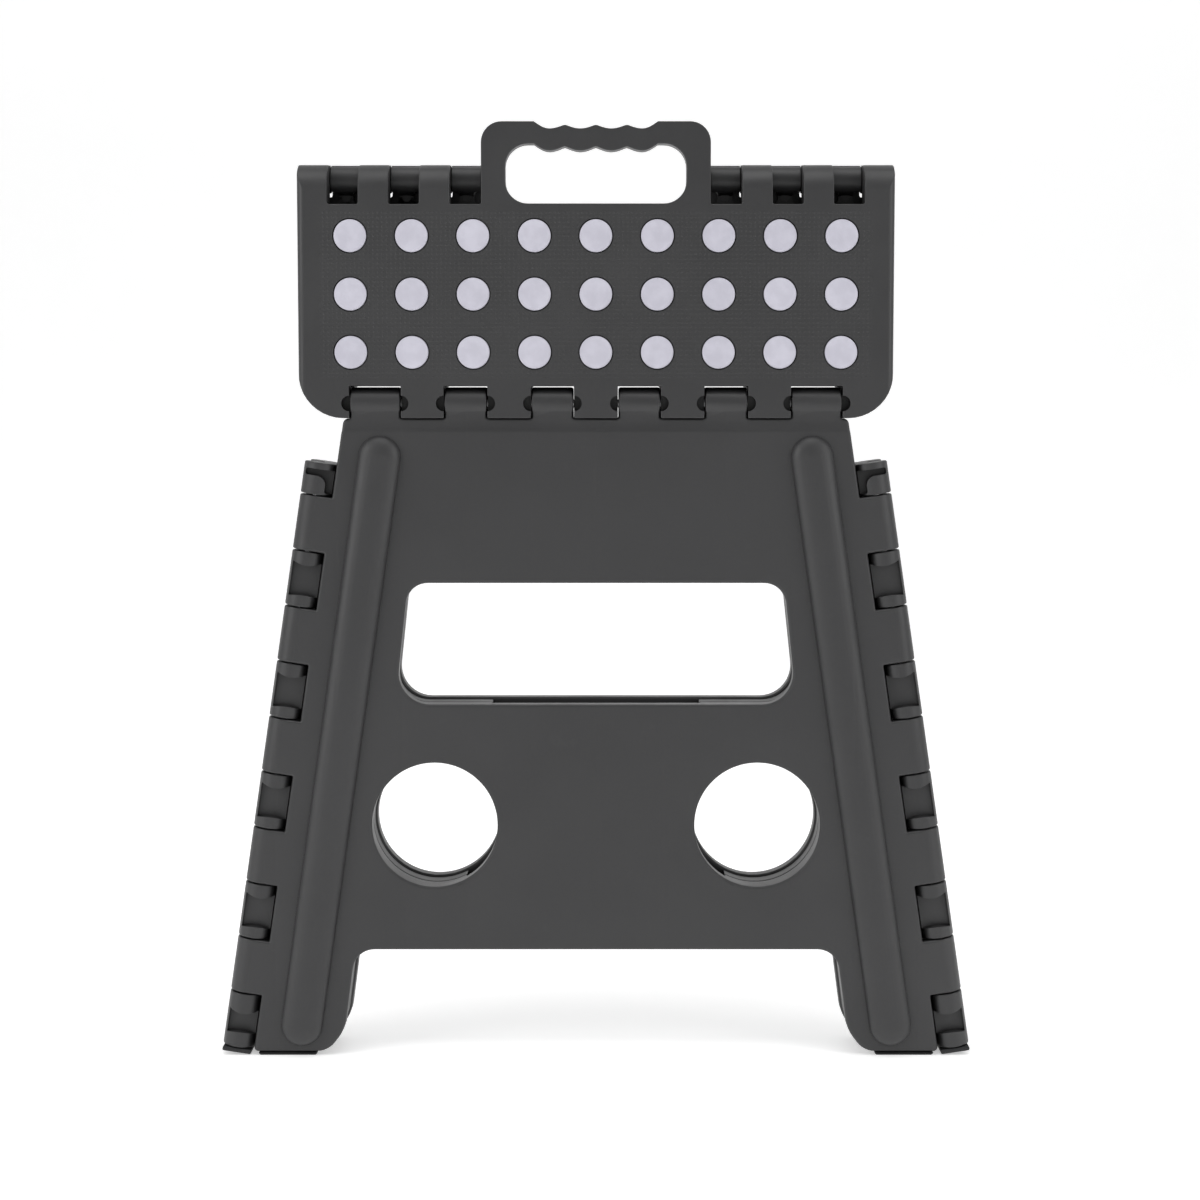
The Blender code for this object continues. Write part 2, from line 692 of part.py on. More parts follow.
def build_leg(name, facing, pivot):
    holes = [circle(side * HOLE_X, HOLE_Z, HOLE_RADIUS, HOLE_SIDES) for side in (-1, 1)]
    loops = [leg_outline(), slot_outline()] + holes
    leg = gather(name, [slab(loops, LEG_INNER_DEPTH, FACE_DEPTH, facing)], PARTS)
    barrels = []
    for side in (-1, 1):
        for inner, outer in LEG_KNUCKLES:
            barrels.append(
                along_x(side * inner, side * outer, HINGE_DEPTH, LEG_HINGE_Z, LEG_BARREL, facing)
            )
        for low, high in side_hinge_ranges(of_leg=True):
            barrels.append(side_barrel(side, facing, 0, HINGE_DEPTH, low, high, SIDE_BARREL))
    add(leg, "barrels", barrels)
    domes = []
    for side in (-1, 1):
        ends = [(side * x, z) for x, z in (BULGE_TOP, BULGE_BOTTOM)]
        domes.append(long_dome(ends[0], ends[1], BULGE_RADIUS, BULGE_PROUD, facing))
    add(leg, "bulges", domes)
    cut(leg, "pockets", leg_pockets(facing))
    cut(leg, "leg_pin_hole", [leg_pin(facing, PIN_HOLE_RADIUS)])
    cut(leg, "side_pin_holes", [side_pin(side, facing, PIN_HOLE_RADIUS) for side in (-1, 1)])
    settle(leg, GREY_PLASTIC, pivot)
    for side, word in ((-1, "left"), (1, "right")):
        outline = [(side * x, z) for x, z in rounded(leg_foot_corners())]
        foot = gather(
            f"{word}_{name.replace('leg_panel', 'leg')}_foot",
            [slab([outline], LEG_INNER_DEPTH + PLANE_PLAY, FACE_DEPTH - PLANE_PLAY, facing)],
            PARTS,
        )
        settle(foot, BLACK_RUBBER, pivot)


def leg_pin(facing, radius):
    """The pin, or its hole, ends inside the rounded lower corners of the top half."""
    end = TOP_HALF_WIDTH - TOP_CORNER / 2 + (GAP if radius > PIN_RADIUS else 0)
    return along_x(-end, end, HINGE_DEPTH, LEG_HINGE_Z, radius, facing, PIN_SIDES)


def leg_foot_corners():
    rise = 0.0012
    return [
        (LEG_FOOT_INNER - rise, FOOT_HEIGHT, 0),
        (LEG_FOOT_OUTER - HINGE_SETBACK / 2, FOOT_HEIGHT, 0),
        (LEG_FOOT_OUTER - HINGE_SETBACK / 2, 0, rise),
        (LEG_FOOT_INNER - rise, 0, rise),
    ]


def side_pin(side, facing, radius):
    extra = GAP if radius > PIN_RADIUS else 0
    low, high = SIDE_FOOT[1] + RIB, SIDE_TOP - RIB
    return along_slant(side, 0, HINGE_DEPTH, low - extra, high + extra, radius, facing, PIN_SIDES)


# ---- The side halves ----------------------------------------------------------------


def side_half_outline(side, facing):
    """Up the slanted hinge, over the top, and down the centre hinge's edge."""
    corners = []
    ranges = side_hinge_ranges(of_leg=False)
    setback = HINGE_SETBACK + PLANE_PLAY
    for index, (low, high) in enumerate(ranges):
        if index:
            corners.append((setback, low))
        corners += [(0, low), (0, high)]
        if index < len(ranges) - 1:
            corners.append((setback, high))
    edge = FOLD_LENGTH - SIDE_CENTRE_SETBACK
    corners.append((edge, SIDE_TOP))
    for low, high in reversed(side_centre_ranges(facing)):
        corners += [(edge, high), (FOLD_LENGTH, high), (FOLD_LENGTH, low), (edge, low)]
    corners.append((edge, SIDE_CENTRE_GROUPS[0][0]))
    corners.append((edge, SIDE_FOOT[1] + GAP))
    return [beside_hinge(side, across, along) for across, along in corners]


def side_openings(side, facing):
    """The slot, round hole and arch, so that nothing shows through the folded legs."""
    margin = WINDOW_MARGIN
    reach = (-FACE_DEPTH, FACE_DEPTH)
    hole = circle(side * HOLE_X, HOLE_Z, HOLE_RADIUS + margin, HOLE_SIDES)
    arch_corners = [
        (ARCH_HALF_WIDTH + margin, ARCH_HEIGHT + margin, ARCH_CORNER),
        (TOE_UPPER[0] + margin, *TOE_UPPER[1:]),
        (TOE_LOWER[0], SIDE_SOLE, TOE_LOWER[1]),
        (SIDE_SOLE_END, SIDE_SOLE, 0),
        (SIDE_SOLE_END, -ARCH_HEIGHT, 0),
    ]
    arch = rounded(both_sides(arch_corners))
    return [slab([outline], *reach, facing) for outline in (slot_outline(margin), hole, arch)]


def knuckle_windows(side, facing):
    """The shallow open window in the outer face of each side knuckle."""
    windows = []
    for low, high in side_hinge_ranges(of_leg=False):
        bottom, top = low + CHEEK, high - CHEEK
        inner = SIDE_HINGE_RADIUS + BEYOND
        outer = -(SIDE_HINGE_RADIUS - KNUCKLE_WALL)
        corners = [(outer, bottom), (inner, bottom), (inner, top), (outer, top)]
        outline = [beside_hinge(side, across, along) for across, along in corners]
        depths = (FACE_DEPTH - WINDOW_DEPTH, FACE_DEPTH + BEYOND)
        windows.append(slab([outline], *depths, facing))
    return windows


def side_pockets(side, facing):
    """The hollows between ribs, on the face that looks into the open stool."""
    upper = (SLOT_TOP / math.cos(SIDE_SLANT) + 0.020, SIDE_TOP - RIB)
    outlines = []
    first, last = HINGE_SETBACK + 2 * RIB, FOLD_LENGTH - SIDE_CENTRE_SETBACK - 2 * RIB
    pitch = (last - first) / 3
    for index in range(3):
        inner, outer = first + index * pitch, first + (index + 1) * pitch - RIB
        corners = [(inner, upper[0]), (outer, upper[0]), (outer, upper[1]), (inner, upper[1])]
        outlines.append([beside_hinge(side, across, along) for across, along in corners])
    outlines += slanted_pockets(side, POCKET_LEVELS[:-1])
    depths = (SIDE_INNER_DEPTH + SIDE_SKIN, SIDE_OUTER_DEPTH + BEYOND)
    return [slab([outline], *depths, facing) for outline in outlines]


def side_barrel(side, facing, across, depth, low, high, radius):
    """A hinge barrel, a hair inside the ends of the stretch that it fills."""
    low, high = low + BARREL_INSET, high - BARREL_INSET
    return along_slant(side, across, depth, low, high, radius, facing)


def build_side_half(name, side, facing, pivot):
    outline = side_half_outline(side, facing)
    half = gather(name, [slab([outline], SIDE_INNER_DEPTH, SIDE_OUTER_DEPTH, facing)], PARTS)
    barrels = [
        side_barrel(side, facing, 0, HINGE_DEPTH, low, high, SIDE_BARREL)
        for low, high in side_hinge_ranges(of_leg=False)
    ]
    barrels += [
        side_barrel(side, facing, FOLD_LENGTH, 0, low, high, SIDE_CENTRE_RADIUS)
        for low, high in side_centre_ranges(facing)
    ]
    add(half, "barrels", barrels)
    slot, hole, arch = side_openings(side, facing)
    cut(half, "slot", [slot])
    cut(half, "round_hole", [hole])
    cut(half, "arch", [arch])
    cut(half, "windows", knuckle_windows(side, facing))
    cut(half, "pockets", side_pockets(side, facing))
    cut(half, "side_pin_hole", [side_pin(side, facing, PIN_HOLE_RADIUS)])
    holes = [centre_pin(side, group, PIN_HOLE_RADIUS) for group in SIDE_CENTRE_GROUPS]
    cut(half, "centre_pin_holes", holes)
    settle(half, GREY_PLASTIC, pivot)
    corners = rectangle(-0.0072, 0.0072, *SIDE_FOOT)
    sole = [beside_hinge(side, across, along) for across, along in corners]
    depths = (HINGE_DEPTH - LEG_KNUCKLE_RADIUS + PLANE_PLAY, FACE_DEPTH - PLANE_PLAY)
    foot = gather(f"{name.replace('_half', '')}_foot", [slab([sole], *depths, facing)], PARTS)
    settle(foot, BLACK_RUBBER, pivot)


def centre_pin(side, group, radius):
    extra = GAP if radius > PIN_RADIUS else 0
    low, high = group[0] + RIB / 2 - extra, group[1] - RIB / 2 + extra
    return along_slant(side, FOLD_LENGTH, 0, low, high, radius, 1, PIN_SIDES)


# ---- Assembly -----------------------------------------------------------------------


def hinge_point(side, across, depth, facing):
    x, z = beside_hinge(side, across, SIDE_TOP / 2)
    return (x, facing * depth, z)


def build_pin(name, mesh, pivot):
    settle(gather(name, [mesh], PARTS), PIN_STEEL, pivot)


def build_stool():
    pivots = {}
    for facing, end in ((-1, "front"), (1, "rear")):
        leg_pivot = empty_at(f"{end}_leg_pivot", (0, facing * HINGE_DEPTH, LEG_HINGE_Z))
        centre = (0, 0, CENTRE_HINGE_Z)
        top_place = (0, facing * HINGE_DEPTH, LEG_HINGE_Z) if facing < 0 else centre
        top_pivot = empty_at(f"{end}_top_pivot", top_place)
        pivots[end] = (leg_pivot, top_pivot)
        build_leg(f"{end}_leg_panel", facing, leg_pivot)
        build_top(f"{end}_top_half", facing, top_pivot)
        build_pin(f"{end}_leg_hinge_pin", leg_pin(facing, PIN_RADIUS), leg_pivot)
        for side, word in ((-1, "left"), (1, "right")):
            across, depth = (0, HINGE_DEPTH) if facing < 0 else (FOLD_LENGTH, 0)
            place = hinge_point(side, across, depth, facing)
            side_pivot = empty_at(f"{word}_{end}_side_pivot", place)
            build_side_half(f"{word}_{end}_side_half", side, facing, side_pivot)
            pin = side_pin(side, facing, PIN_RADIUS)
            build_pin(f"{word}_{end}_side_hinge_pin", pin, leg_pivot)
            if facing < 0:
                for group, level in zip(SIDE_CENTRE_GROUPS, ("lower", "middle", "upper")):
                    pin = centre_pin(side, group, PIN_RADIUS)
                    build_pin(f"{word}_{level}_side_centre_pin", pin, side_pivot)
    for side, word in ((-1, "left"), (1, "right")):
        start, end = side * (HANDLE_HALF_WIDTH + 2 * GAP), side * (TOP_HALF_WIDTH - RIB)
        pin = along_x(start, end, 0, CENTRE_HINGE_Z, PIN_RADIUS, 1, PIN_SIDES)
        build_pin(f"{word}_centre_hinge_pin", pin, pivots["front"][1])


build_stool()
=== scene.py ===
# %% [markdown]
# # A folding step stool in moulded plastic
#
# The stool is shown folded, standing on its feet. Two legs stand face to face, each with
# half of the tread hinged to its head, and side halves fold inward between them. The
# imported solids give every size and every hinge. This lesson rebuilds the panels with
# rounded edges, sets the rubber dots in them, and gives each piece its own finish.

import json
import math

import bmesh
import bpy
from mathutils import Matrix, Vector

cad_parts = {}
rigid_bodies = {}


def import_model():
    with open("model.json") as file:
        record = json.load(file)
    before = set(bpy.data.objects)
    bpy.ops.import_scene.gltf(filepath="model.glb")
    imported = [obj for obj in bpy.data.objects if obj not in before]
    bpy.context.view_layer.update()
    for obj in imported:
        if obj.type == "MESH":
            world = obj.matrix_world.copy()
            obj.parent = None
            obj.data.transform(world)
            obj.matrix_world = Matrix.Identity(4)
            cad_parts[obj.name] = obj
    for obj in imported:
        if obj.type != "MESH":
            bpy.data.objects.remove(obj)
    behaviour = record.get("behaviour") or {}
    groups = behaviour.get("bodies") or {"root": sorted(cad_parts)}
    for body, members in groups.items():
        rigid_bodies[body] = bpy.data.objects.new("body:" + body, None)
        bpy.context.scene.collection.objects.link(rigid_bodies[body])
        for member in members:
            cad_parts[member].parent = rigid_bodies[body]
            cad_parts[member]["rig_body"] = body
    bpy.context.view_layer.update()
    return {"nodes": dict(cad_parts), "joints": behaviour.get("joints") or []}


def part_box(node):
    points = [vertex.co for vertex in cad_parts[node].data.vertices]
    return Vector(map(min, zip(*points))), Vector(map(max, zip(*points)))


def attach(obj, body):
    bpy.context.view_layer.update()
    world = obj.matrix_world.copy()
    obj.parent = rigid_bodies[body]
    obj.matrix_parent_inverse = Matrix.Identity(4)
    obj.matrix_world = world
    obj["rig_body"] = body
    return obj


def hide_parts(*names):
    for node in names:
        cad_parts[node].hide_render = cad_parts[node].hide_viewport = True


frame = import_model()
JOINTS = {joint["name"]: joint for joint in frame["joints"]}

# %% [markdown]
# Everything is placed from the hinges. The leg hinge and the centre hinge come straight
# from the joints, and so do the slanted side hinges. A place on a panel is given by x,
# by its depth from the middle plane, and by z. A place on a side half is given across
# from its slanted hinge and up along it, because its knuckles are square to that hinge.

# %% Hinges and the main faces
LEG_HINGE_Z = JOINTS["front_top_hinge"]["pos_m"][2]
HINGE_DEPTH = -JOINTS["front_top_hinge"]["pos_m"][1]
CENTRE_HINGE_Z = JOINTS["top_centre_hinge"]["pos_m"][2]
FOLD_LENGTH = CENTRE_HINGE_Z - LEG_HINGE_Z
TOP_LOW, TOP_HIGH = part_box("front_top_half")
TOP_HALF_WIDTH = TOP_HIGH.x
FACE_DEPTH = -TOP_LOW.y
SIDE_HINGE = Vector(JOINTS["right_side_hinge"]["pos_m"])
SIDE_AXIS = Vector(JOINTS["right_side_hinge"]["axis"])
SIDE_SLANT = math.atan2(abs(SIDE_AXIS.x), abs(SIDE_AXIS.z))
SIDE_HINGE_X_AT_FLOOR = SIDE_HINGE.x + SIDE_HINGE.z * math.tan(SIDE_SLANT)
print(f"leg hinge {LEG_HINGE_Z:.4f} m, centre hinge {CENTRE_HINGE_Z:.4f} m up")
print(f"side hinges lean {math.degrees(SIDE_SLANT):.2f} degrees")

# %% Sizes of the mouldings, in metres
PLAY = 0.0005
HINGE_PLAY = 0.0008
CENTRE_PLAY = 0.00005
KNUCKLE_RADIUS = 0.008
BARREL_INSET = 0.0001
LEG_KNUCKLES = ((0.0112, 0.0312), (0.0534, 0.0737), (0.0956, 0.1198))
LEG_THICKNESS = 0.009
LEG_SKIN = 0.003
RIB = 0.003
BEYOND = 0.004
CENTRE_RADIUS = TOP_HIGH.y
NOTCH_FLOOR = CENTRE_HINGE_Z - 0.0128
REAR_NOTCH_FLOOR = CENTRE_HINGE_Z - CENTRE_RADIUS - 0.0006
HANDLE_HALF_WIDTH = 0.0556
HANDLE_TOP = TOP_HIGH.z
HANDLE_THICKNESS = 0.010
WELL_FLOOR = CENTRE_HINGE_Z - (HANDLE_TOP - CENTRE_HINGE_Z) - HINGE_PLAY - PLAY
DOT_RADIUS = 0.00805
DOT_PITCH = 0.0298
DOT_ROW_PITCH = 0.0281
TOP_ROW_Z = CENTRE_HINGE_Z - 0.0280
SIDE_TOP = 0.2984
SIDE_FIRST_JOINT = 0.0316
SIDE_JOINT_PITCH = 0.02785
SIDE_GROUPS = ((0.0770, 0.1010), (0.1620, 0.1890), (0.2605, 0.2965))
LEG_TOP = TOP_LOW.z - 0.00005
LEG_SHELF = LEG_HINGE_Z - 0.0079
SOLE = 0.0019
TOE_UPPER = (0.1250, 0.0130, 0.020)
TOE_LOWER = (0.1335, 0.0115)
SIDE_SOLE = 0.0039
LEG_INNER = FACE_DEPTH - LEG_THICKNESS
SIDE_OUTER = LEG_INNER - PLAY
SIDE_INNER = PLAY
SETBACK = KNUCKLE_RADIUS + PLAY

# %% [markdown]
# Flat outlines are lists of corners, each with its own radius. A short function turns a
# corner into an arc. Drawing the true radius at this stage beats rounding the corners of
# a finished solid, because every later cut then follows the same curve.

# %% Outlines with rounded corners
ARC_STEP = math.radians(9)


def rounded(corners):
    """The points of a polygon whose corners are (x, z, radius)."""
    points = []
    for index, (x, z, radius) in enumerate(corners):
        corner = Vector((x, z))
        before = (Vector(corners[index - 1][:2]) - corner).normalized()
        after = (Vector(corners[(index + 1) % len(corners)][:2]) - corner).normalized()
        turn = math.pi - before.angle(after)
        if radius <= 0 or turn < math.radians(2):
            points.append((x, z))
            continue
        reach = radius * math.tan(turn / 2)
        centre = corner + (before + after).normalized() * math.hypot(reach, radius)
        first = corner + before * reach - centre
        last = corner + after * reach - centre
        sweep = -first.angle_signed(last)
        steps = max(2, math.ceil(turn / ARC_STEP))
        for step in range(steps + 1):
            arm = Matrix.Rotation(sweep * step / steps, 2) @ first
            points.append(tuple(centre + arm))
    return points


def both_sides(right_half):
    """A whole outline from its right half, whose corners run from the top down."""
    return list(right_half) + [(-x, z, radius) for x, z, radius in reversed(right_half)]


def circle(x, z, radius, sides=96):
    turns = [2 * math.pi * step / sides for step in range(sides)]
    return [(x + radius * math.cos(turn), z + radius * math.sin(turn)) for turn in turns]


def rectangle(x_from, x_to, z_from, z_to):
    return [(x_from, z_from), (x_to, z_from), (x_to, z_to), (x_from, z_to)]


def beside_hinge(side, across, along):
    """x and z of a place on a folded side half."""
    x = SIDE_HINGE_X_AT_FLOOR - along * math.sin(SIDE_SLANT) - across * math.cos(SIDE_SLANT)
    return side * x, along * math.cos(SIDE_SLANT) - across * math.sin(SIDE_SLANT)


def slanted(side, corners):
    return [beside_hinge(side, across, along) for across, along in corners]


print("a rounded square has", len(rounded([(0, 0, 1), (4, 0, 1), (4, 4, 1), (0, 4, 1)])), "points")

# %% [markdown]
# A panel is its outline given a thickness. A filled 2D curve triangulates the outline
# with its holes, and welding its caps closes it. Each solid is kept as a plain mesh in
# world coordinates, so that cuts and joins need no placing.

# %% Solids: slabs, rods and domes


def clean(shape):
    """Welds a mesh's points and turns its faces out."""
    bmesh.ops.remove_doubles(shape, verts=shape.verts, dist=1e-6)
    bmesh.ops.recalc_face_normals(shape, faces=shape.faces)


def slab(outlines, depth_from, depth_to, facing):
    """A flat outline with its holes, between two depths; facing is -1 at the front."""
    curve = bpy.data.curves.new("outline", "CURVE")
    curve.dimensions = "2D"
    curve.fill_mode = "BOTH"
    curve.extrude = abs(depth_to - depth_from) / 2
    for outline in outlines:
        spline = curve.splines.new("POLY")
        spline.points.add(len(outline) - 1)
        spline.use_cyclic_u = True
        for point, (x, z) in zip(spline.points, outline):
            point.co = (x, z, 0, 1)
    holder = bpy.data.objects.new("outline", curve)
    mesh = bpy.data.meshes.new_from_object(holder)
    place = Matrix.Translation((0, facing * (depth_from + depth_to) / 2, 0))
    mesh.transform(place @ Matrix.Rotation(math.pi / 2, 4, "X"))
    bpy.data.objects.remove(holder)
    bpy.data.curves.remove(curve)
    shape = bmesh.new()
    shape.from_mesh(mesh)
    clean(shape)
    shape.to_mesh(mesh)
    shape.free()
    return mesh


def rod(start, end, radius, sides=40):
    """A cylinder between two points."""
    start, end = Vector(start), Vector(end)
    shape = bmesh.new()
    bmesh.ops.create_cone(
        shape,
        cap_ends=True,
        segments=sides,
        radius1=radius,
        radius2=radius,
        depth=(end - start).length,
    )
    turn = Vector((0, 0, 1)).rotation_difference(end - start).to_matrix().to_4x4()
    shape.transform(Matrix.Translation((start + end) / 2) @ turn)
    mesh = bpy.data.meshes.new("rod")
    shape.to_mesh(mesh)
    shape.free()
    return mesh


def along_x(x_from, x_to, depth, z, radius, facing):
    return rod((x_from, facing * depth, z), (x_to, facing * depth, z), radius)


def along_slant(side, across, depth, low, high, radius, facing):
    ends = []
    for height in (low, high):
        x, z = beside_hinge(side, across, height)
        ends.append((x, facing * depth, z))
    return rod(ends[0], ends[1], radius)


def bar_along_x(profile, x_from, x_to, facing):
    """A bar across the stool whose section is points of depth and z."""
    bar = slab([profile], x_from, x_to, 1)
    bar.transform(Matrix(((0, 1, 0, 0), (facing, 0, 0, 0), (0, 0, 1, 0), (0, 0, 0, 1))))
    shape = bmesh.new()
    shape.from_mesh(bar)
    clean(shape)
    shape.to_mesh(bar)
    shape.free()
    return bar


def bar_along_z(profile, z_from, z_to, facing):
    """An upright bar whose section is points of x and depth."""
    bar = slab([profile], z_from, z_to, 1)
    bar.transform(Matrix(((1, 0, 0, 0), (0, 0, facing, 0), (0, 1, 0, 0), (0, 0, 0, 1))))
    shape = bmesh.new()
    shape.from_mesh(bar)
    clean(shape)
    shape.to_mesh(bar)
    shape.free()
    return bar


def long_dome(start, end, radius, height, facing):
    """A flattened capsule on the outer face: the hull of a flattened ball at each end."""
    shape = bmesh.new()
    for x, z in (start, end):
        place = Matrix.Translation((x, facing * FACE_DEPTH, z))
        size = Matrix.Diagonal((radius, height, radius, 1))
        bmesh.ops.create_uvsphere(shape, u_segments=48, v_segments=32, radius=1, matrix=place @ size)
    bmesh.ops.delete(shape, geom=shape.edges[:], context="EDGES_FACES")
    hull = bmesh.ops.convex_hull(shape, input=shape.verts)
    spare = {item for item in hull["geom_interior"] if isinstance(item, bmesh.types.BMVert)}
    bmesh.ops.delete(shape, geom=list(spare), context="VERTS")
    clean(shape)
    mesh = bpy.data.meshes.new("dome")
    shape.to_mesh(mesh)
    shape.free()
    return mesh


# %% [markdown]
# Pieces are cut and joined with Booleans. A moulding has no sharp outer edge, so between
# the joins and the fine cuts each panel gets a Bevel. Flat faces are first merged back
# into whole ones, because Bevel needs clean edges, and only edges that turn by more than
# a set angle are rounded. Modifiers are applied at once, so the mesh is final.

# %% Cutting, joining and softening


def gather(name, meshes):
    """One object from meshes that stand clear of each other."""
    shape = bmesh.new()
    for mesh in meshes:
        shape.from_mesh(mesh)
        bpy.data.meshes.remove(mesh)
    joined = bpy.data.meshes.new(name)
    shape.to_mesh(joined)
    shape.free()
    piece = bpy.data.objects.new(name, joined)
    bpy.context.scene.collection.objects.link(piece)
    return piece


def apply_modifiers(piece):
    graph = bpy.context.evaluated_depsgraph_get()
    made = bpy.data.meshes.new_from_object(piece.evaluated_get(graph))
    piece.modifiers.clear()
    piece.data = made


def combine(piece, operation, meshes):
    tool = gather("tool", meshes)
    step = piece.modifiers.new("combine", "BOOLEAN")
    step.operation = operation
    step.solver = "MANIFOLD"
    step.object = tool
    apply_modifiers(piece)
    bpy.data.objects.remove(tool)


def add(piece, meshes):
    combine(piece, "UNION", meshes)


def cut(piece, meshes):
    combine(piece, "DIFFERENCE", meshes)


def soften(piece, width, segments=3, angle=50):
    """Rounds the edges of a moulding, and leaves triangles, which later cuts keep sound."""
    shape = bmesh.new()
    shape.from_mesh(piece.data)
    clean(shape)
    bmesh.ops.dissolve_limit(
        shape, angle_limit=math.radians(0.4), verts=shape.verts, edges=shape.edges
    )
    shape.to_mesh(piece.data)
    shape.free()
    step = piece.modifiers.new("soften", "BEVEL")
    step.width = width
    step.segments = segments
    step.limit_method = "ANGLE"
    step.angle_limit = math.radians(angle)
    step.use_clamp_overlap = False
    step.miter_outer = "MITER_ARC"
    apply_modifiers(piece)
    shape = bmesh.new()
    shape.from_mesh(piece.data)
    bmesh.ops.remove_doubles(shape, verts=shape.verts, dist=2e-6)
    bmesh.ops.triangulate(shape, faces=shape.faces)
    shape.to_mesh(piece.data)
    shape.free()


def finish_piece(piece, material, slot_name, body, *nodes):
    """Shades a piece, gives it its finish, and lets it ride in place of the CAD nodes."""
    piece.data.materials.clear()
    piece.data.materials.append(material)
    piece.data.shade_smooth()
    piece.data.set_sharp_from_angle(angle=math.radians(38))
    step = piece.modifiers.new("even_shading", "WEIGHTED_NORMAL")
    step.keep_sharp = True
    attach(piece, body)
    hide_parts(*nodes)
    print(f"{piece.name}: {len(piece.data.polygons)} faces, rides on {body}")


# %% [markdown]
# Shader maths reads best as plain expressions. This class wraps one socket. Arithmetic on
# it adds Math nodes, and its make method adds any other node: first the settings, then
# the values or links of its inputs.

# %% A small class for shader expressions


class Wire:
    """One socket in a node tree."""

    def __init__(self, tree, port=None):
        self.tree = tree
        self.port = port

    def feed(self, entry, value):
        if isinstance(value, Wire):
            self.tree.links.new(value.port, entry)
        else:
            entry.default_value = value

    def make(self, kind, settings=(), values=(), out=0):
        node = self.tree.nodes.new(kind)
        for name, value in dict(settings).items():
            if name == "stops":
                for stop, (place, colour) in zip(node.color_ramp.elements, value):
                    stop.position, stop.color = place, (*colour, 1)
            else:
                setattr(node, name, value)
        for name, value in dict(values).items():
            self.feed(node.inputs[name], value)
        return Wire(self.tree, node.outputs[out])

    def maths(self, operation, first, second=0.0):
        return self.make("ShaderNodeMath", {"operation": operation}, {0: first, 1: second})

    def __add__(self, other):
        return self.maths("ADD", self, other)

    def __sub__(self, other):
        return self.maths("SUBTRACT", self, other)

    def __rsub__(self, other):
        return self.maths("SUBTRACT", other, self)

    def __mul__(self, other):
        return self.maths("MULTIPLY", self, other)

    def __truediv__(self, other):
        return self.maths("DIVIDE", self, other)

    def __gt__(self, other):
        return self.maths("GREATER_THAN", self, other)

    def __lt__(self, other):
        return self.maths("LESS_THAN", self, other)

    def __abs__(self):
        return self.maths("ABSOLUTE", self)

    __radd__ = __add__
    __rmul__ = __mul__

    def fade(self, low, high):
        """0 below low and 1 above high, smooth between."""
        values = {"Value": self, "From Min": low, "From Max": high}
        return self.make("ShaderNodeMapRange", {"interpolation_type": "SMOOTHSTEP"}, values)

    def mix(self, dark, light):
        """A colour between two, by this socket's value."""
        values = {0: self, 6: dark, 7: light}
        return self.make("ShaderNodeMix", {"data_type": "RGBA"}, values, out=2)


def noise(start, place, scale, detail=3.0, roughness=0.5):
    values = {"Vector": place, "Scale": scale, "Detail": detail, "Roughness": roughness}
    return start.make("ShaderNodeTexNoise", {}, values)


def bump(start, height, distance, strength, under=None):
    values = {"Height": height, "Distance": distance, "Strength": strength}
    if under:
        values["Normal"] = under
    return start.make("ShaderNodeBump", {}, values)


def new_finish(name, roughness, metallic=0.0):
    """A material, a wire to start expressions from, its place socket and its shader."""
    material = bpy.data.materials.new(name)
    material.use_nodes = True
    shader = material.node_tree.nodes["Principled BSDF"]
    shader.inputs["Roughness"].default_value = roughness
    shader.inputs["Metallic"].default_value = metallic
    start = Wire(material.node_tree)
    place = start.make("ShaderNodeTexCoord", {}, {}, out="Object")
    return material, start, place, shader


print("shader class ready")

# %% [markdown]
# The plastic is a dark grey moulding. Its tool was spark eroded, which leaves a very fine
# even grain. Faint upright lines show where the skin sank over a rib, the gloss varies a
# little with handling, and small spots are paler where they are rubbed. Recesses and gaps
# are darkened with painted shade, from an ambient occlusion node.

# %% Dark grey plastic
# GREY_SHADED is the near-black of the painted shade in recesses and gaps.
GREY_SHADED = (0.006, 0.006, 0.006, 1)
GREY_DARK = (0.029, 0.029, 0.030, 1)
GREY_LIGHT = (0.034, 0.034, 0.035, 1)
GREY_RUBBED = (0.085, 0.085, 0.088, 1)
RIB_PITCH = 0.0318


def grey_plastic(name, pins=False):
    material, start, place, shader = new_finish(name, 0.5)
    cloud = noise(start, place, 9.0, 4.0, 0.6).fade(0.3, 0.7)
    speck = noise(start, place, 650.0, 2.0).fade(0.35, 0.75)
    body = (cloud * 0.7 + speck * 0.3).mix(GREY_DARK, GREY_LIGHT)
    rubbed = noise(start, place, 60.0, 4.0, 0.7).fade(0.62, 0.80)
    colour = (rubbed * 0.10).mix(body, GREY_RUBBED)
    # Painted shade: an ambient occlusion factor darkens recesses, gaps and crevices towards GREY_SHADED.
    painted_shade_openness = start.make("ShaderNodeAmbientOcclusion", {"samples": 8}, {"Distance": 0.009}, out="AO")
    colour = painted_shade_openness.fade(0.1, 0.8).mix(GREY_SHADED, colour)
    start.feed(shader.inputs["Base Color"], colour)
    handled = noise(start, place, 22.0, 5.0, 0.65).fade(0.3, 0.75)
    start.feed(shader.inputs["Roughness"], 0.40 + handled * 0.13)
    across = start.make("ShaderNodeSeparateXYZ", {}, {0: place}, out="X")
    rib = start.maths("PINGPONG", across / RIB_PITCH, 0.5).fade(0.0, 0.05)
    sink = noise(start, place, 26.0, 1.0) + rib * 0.12
    grain = noise(start, place, 2600.0, 2.0)
    surface = bump(start, sink, 0.0012, 0.25)
    surface = bump(start, grain, 0.00006, 0.5, surface)
    if pins:
        surface = pin_field(start, place, surface)
    start.feed(shader.inputs["Normal"], surface)
    return material


# %% [markdown]
# Round the rubber dots the tread has a field of tiny raised pins, too fine to model one
# by one. A grid of cells, from the fractional part of x and z, gives each pin a round
# bump. A mask keeps them to the outer face and inside the field's border.

